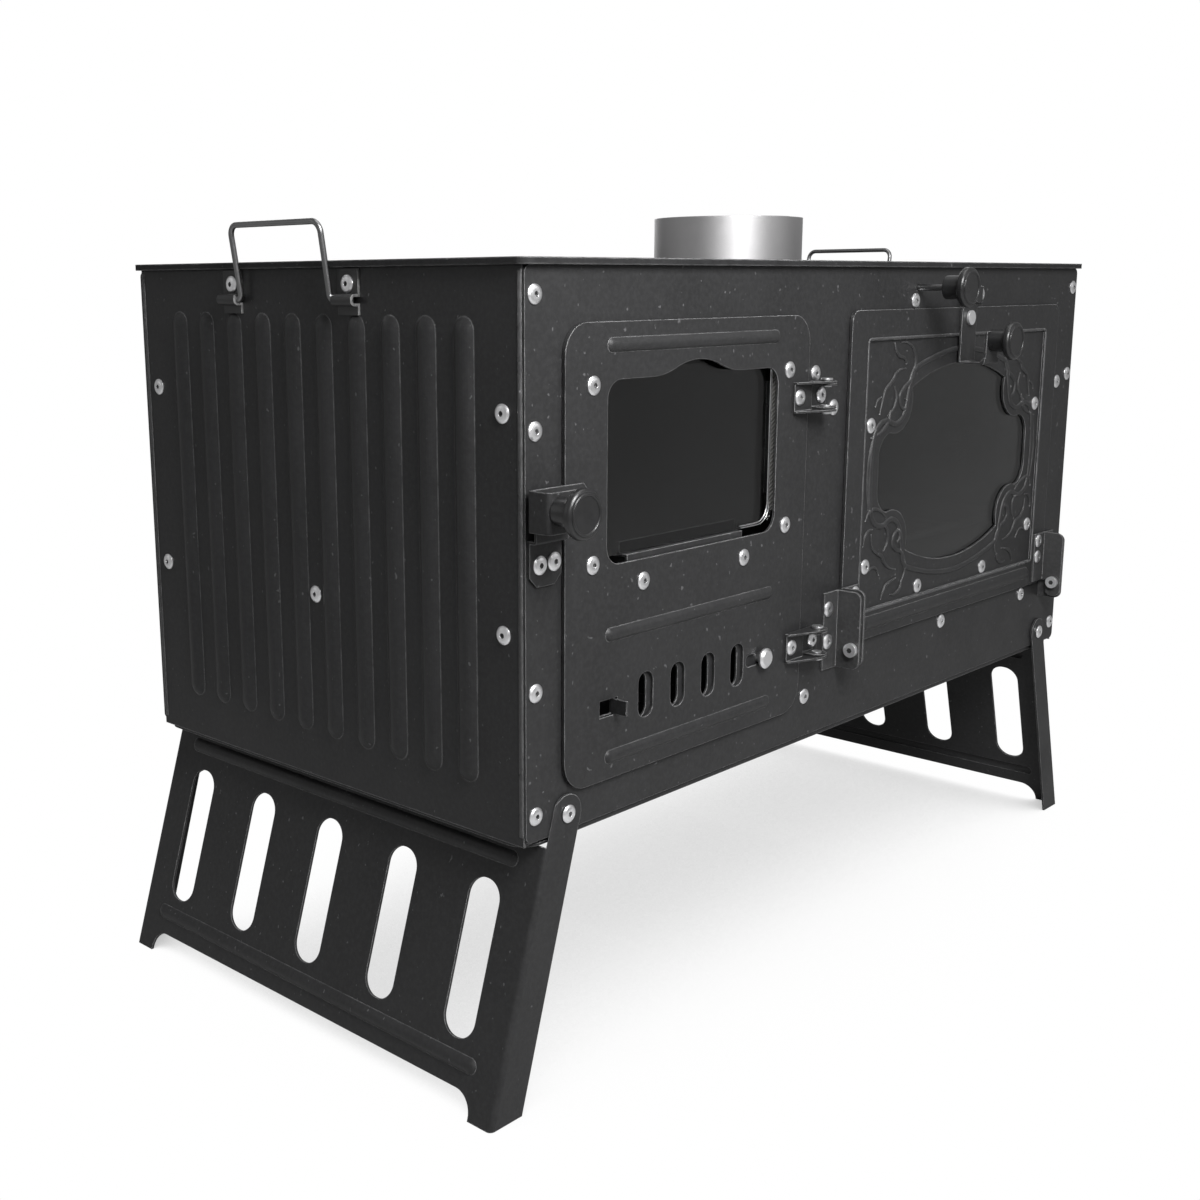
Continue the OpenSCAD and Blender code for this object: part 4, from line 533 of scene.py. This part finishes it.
relief = [stroke(window_ridge(), (RIDGE_W,), True, RECESS_Y, RELIEF_H)]
for points, widths in TOP_SCROLLS + LOW_SCROLLS:
    path = smooth_path(points, CURVE_STEPS)
    for side in (path, mirrored(path)):
        relief.append(stroke(side, widths, False, RECESS_Y, RELIEF_H))
new_piece("oven_door_relief", join(relief), black, "oven_door_group")


# Rounded shoulder of the oven door's recess, in lighter paint: a painted highlight along it

DOOR_Y = -2.5
SHOULDER_X, SHOULDER_Z, SHOULDER_R = (301.9, 548.1), (67.9, 239.1), 3.0
SHOULDER_W, SHOULDER_H = 1.5, 0.5
shoulder = rounded_loop(SHOULDER_X, SHOULDER_Z, SHOULDER_R)
new_piece("oven_recess_shoulder", stroke(shoulder, (SHOULDER_W,), True, DOOR_Y, SHOULDER_H),
          bend_highlight_paint, "oven_door_group")


# Upright rolled bends of the end panels, one beside each corner of the body, in lighter paint:
# a painted highlight along each bend

BEND_IN, BEND_W, BEND_H = 3.3, 2.6, 0.7
BEND_LOW, BEND_HIGH, BEND_RUNOUT = 3.0, BODY_H - 2.0, 1.5


def end_bend(face_x, out, mid_y):
    verts, faces = [], []
    levels = ((BEND_LOW, 0.0), (BEND_LOW + BEND_RUNOUT, BEND_H),
              (BEND_HIGH - BEND_RUNOUT, BEND_H), (BEND_HIGH, 0.0))
    for z, high in levels:
        for k in range(ARC + 1):
            a = math.pi * k / ARC
            verts.append((face_x + out * (high * math.sin(a) - SUNK),
                          mid_y + math.cos(a) * BEND_W / 2, z))
    for level in range(len(levels) - 1):
        for k in range(ARC):
            a = level * (ARC + 1) + k
            faces.append((a, a + 1, a + ARC + 2, a + ARC + 1))
    return verts, faces


bends = [end_bend(face_x, out, mid_y) for face_x, out in ((0.0, -1), (BODY_L, 1))
         for mid_y in (BEND_IN, BODY_D - BEND_IN)]
new_piece("end_bends", join(bends), bend_highlight_paint, "base")


# Two thin runs of bright bare metal along the glass's right side and corner: a painted
# highlight of the glass's edge

GLASS_EDGE_HIGHLIGHT = [
    (205.2, 226.0), (205.2, 200.0), (205.2, 170.0), (205.2, 152.0), (204.9, 147.5),
    (203.2, 143.0), (199.8, 140.0), (195.5, 138.8), (186.0, 138.6), (177.5, 138.6),
]
STRIP_Y, STRIP_H, STRIP_STEPS = 2.45, 0.8, 5
OUTER_RUN = [(x + 1.6, z - 1.2) for x, z in GLASS_EDGE_HIGHLIGHT]
strips = [stroke(smooth_path(run, STRIP_STEPS), (width,) * 3, False, STRIP_Y, STRIP_H)
          for run, width in ((GLASS_EDGE_HIGHLIGHT, 0.9), (OUTER_RUN, 0.7))]
new_piece("glass_edge_highlight_strip", join(strips), highlight_strip_steel, "firebox_door_group")


# Raised rims of the knobs' faces

KNOB_RIM = [
    (0.3, 8.7), (-0.05, 8.7), (-0.35, 8.9), (-0.55, 9.3), (-0.6, 9.7), (-0.5, 10.1),
    (-0.25, 10.4), (0.3, 10.45), (0.3, 8.7),
]
RIM_SIDES = 40
KNOBS = (("damper_knob", "damper"), ("firebox_latch_knob", "firebox_latch"),
         ("oven_latch_knob", "oven_latch"))
for node, body in KNOBS:
    low, high = (body_mm(corner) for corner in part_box(node))
    face = ((low[0] + high[0]) / 2, low[1], (low[2] + high[2]) / 2)
    new_piece(node + "_rim", turned(face, KNOB_RIM, "y", RIM_SIDES), bakelite, body)


# Hexagon sockets of the oven hinge screws, as thin dark discs on the heads: painted shade in the
# sockets

SOCKET = [(0.3, 1.8), (-0.08, 1.75), (-0.12, 1.5), (-0.05, 1.3), (0.0, 0.0)]
RIGHT_HEAD_X = 562.8
low, high = (body_mm(corner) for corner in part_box("oven_hinge_screws"))
for name, head_x in (("left_screw_socket", low[0]), ("right_screw_socket", RIGHT_HEAD_X)):
    head = (head_x, (low[1] + high[1]) / 2, (low[2] + high[2]) / 2)
    new_piece(name, turned(head, SOCKET, "x", 6), mandrel_steel_and_socket_shade, "base",
              smooth=False)


# Broken mandrel stems in the bores of the blind rivets

STEM = ((1.6, 1.30), (-0.15, 1.30), (-0.35, 1.05), (0.1, 0.45))
STEM_SIDES = 14
COLUMNS = [(x, z) for x in (6.7, 593.3) for z in (13.5, 77, 205, 268.5)]
WALL = [(247, 25.4), (247, 221)]
MOUTH = [(294.2, 43.8), (416.6, 43.8), (539, 43.8), (268, 200), (576, 200)]
DAMPER_GUIDE = [(360, 261.4)]
HINGE_BRACKETS = [(251.5, 208.4), (251.5, 60.6), (269, 56), (269, 76.5), (581, 56), (581, 76.5)]
CATCHES = [(8.4, 140.7), (18.7, 141.3), (444.5, 264.7)]
FIRE_GLASS = [(46.1, 224.5), (216.4, 224.5), (46.1, 135.5), (216.4, 135.5), (86.5, 121.8),
              (176, 121.8)]
FIRE_BRACKETS = [(225.4, 208.4), (225.4, 60.6)]
OVEN_GLASS = [(310.5, 97), (310.5, 186), (539.5, 97), (539.5, 186), (379, 74.5), (471, 74.5)]
OVEN_BRACKETS = [(295, 70.5), (295, 82.5), (555, 70.5), (555, 82.5)]
LEG_PIVOTS = [(29, 9.5), (571, 9.5)]
# Each piece's name, body, depth, way it faces (1 to the front, -1 to the back) and places
MANDRELS = (
    ("front_mandrels", "base", 0.0, 1, COLUMNS + WALL + MOUTH + DAMPER_GUIDE),
    ("back_mandrels", "base", BODY_D, -1, COLUMNS + WALL),
    ("bracket_mandrels", "base", -1.5, 1, HINGE_BRACKETS + CATCHES),
    ("firebox_glass_mandrels", "firebox_door_group", -2.5, 1, FIRE_GLASS),
    ("firebox_bracket_mandrels", "firebox_door_group", -4.0, 1, FIRE_BRACKETS),
    ("oven_glass_mandrels", "oven_door_group", RECESS_Y, 1, OVEN_GLASS),
    ("oven_bracket_mandrels", "oven_door_group", -4.0, 1, OVEN_BRACKETS),
    ("front_pivot_mandrels", "base", -2.1, 1, LEG_PIVOTS),
    ("back_pivot_mandrels", "base", BODY_D + 2.1, -1, LEG_PIVOTS),
)


def stem(x, y, z, way):
    verts, faces = turned((x, y, z), [(way * along, r) for along, r in STEM], "y", STEM_SIDES)
    last = (len(STEM) - 1) * STEM_SIDES
    faces.append(tuple(range(STEM_SIDES)))
    faces.append(tuple(last + k for k in reversed(range(STEM_SIDES))))
    return verts, faces


for name, body, y, way, places in MANDRELS:
    new_piece(name, join([stem(x, y, z, way) for x, z in places]), mandrel_steel_and_socket_shade,
              body)


# Stage: a white floor that keeps the soft shadow, and a white surround

FLOOR_HALF = 9.0
FLOOR_GREY = (0.4, 0.4, 0.4, 1)
SHADOW_REACH, SHADOW_SAMPLES = 0.42, 12
WHITE = (1, 1, 1, 1)
FLOOR_GLOSS, WORLD_GLOSS, WORLD_LIGHT = 0.22, 0.18, 0.13


def make_floor():
    """White like the surround, with a soft shadow; the other rays meet a plain pale floor."""
    s = Shader("floor")
    s.put(Base_Color=FLOOR_GREY, Roughness=0.9, Specular_IOR_Level=0.0)
    openness = s.new("ShaderNodeAmbientOcclusion", Distance=SHADOW_REACH)
    openness.samples = SHADOW_SAMPLES
    glow = s.new("ShaderNodeEmission")
    s.link(s.ramp(openness.outputs["AO"], (0.0, 0.42), (0.30, 0.80), (0.43, 0.97), (0.53, 1.0)),
           glow.inputs["Color"])
    s.surface(s.mix_shaders(s.seen_white(FLOOR_GLOSS), s.bsdf.outputs[0], glow.outputs[0]))
    return s.material


corners = ((-1, -1), (1, -1), (1, 1), (-1, 1))
floor_mesh = bpy.data.meshes.new("floor")
floor_mesh.from_pydata([(x * FLOOR_HALF, y * FLOOR_HALF, 0) for x, y in corners], [],
                       [(0, 1, 2, 3)])
floor_mesh.materials.append(make_floor())
add_object("floor", floor_mesh)

world = bpy.data.worlds.new("surround")
bpy.context.scene.world = world
around = Nodes(world)
lit = around.new("ShaderNodeBackground", Color=WHITE, Strength=WORLD_LIGHT)
white = around.new("ShaderNodeBackground", Color=WHITE, Strength=1.0)
world_out = around.new("ShaderNodeOutputWorld")
around.link(around.mix_shaders(around.seen_white(WORLD_GLOSS), lit.outputs[0], white.outputs[0]),
            world_out.inputs["Surface"])

# Each light's name, place, target, width and height in metres, and watts
LIGHTS = (
    ("key_box", (-0.38, -0.66, 0.82), (-0.17, -0.1, 0.3), 0.34, 0.4, 13),
    ("rim_box", (-1.30, -0.80, 0.95), (-0.3, 0, 0.25), 0.2, 0.5, 1.3),
    ("top_box", (0.1, -0.2, 2.0), (0, 0, 0.2), 1.6, 1.2, 12),
    ("front_box", (0.85, -1.3, 0.82), (-0.2, 0, 0.3), 0.5, 0.7, 1.1),
    ("left_box", (-1.9, 1.5, 1.0), (0, 0, 0.25), 0.5, 1.4, 1.2),
    ("right_box", (2.0, 1.2, 0.9), (0.1, 0, 0.25), 0.9, 1.3, 4),
    ("back_box", (1.3, 1.9, 0.9), (0, 0, 0.25), 1.2, 1.0, 8),
)
for name, place, target, width, height, watts in LIGHTS:
    light = bpy.data.lights.new(name, "AREA")
    light.shape = "RECTANGLE"
    light.size, light.size_y = width, height
    light.energy = watts
    box = add_object(name, light)
    box.location = place
    box.rotation_mode = "QUATERNION"
    box.rotation_quaternion = (Vector(target) - Vector(place)).to_track_quat("-Z", "Y")
    box.visible_camera = False

bpy.context.scene.view_settings.view_transform = "Standard"
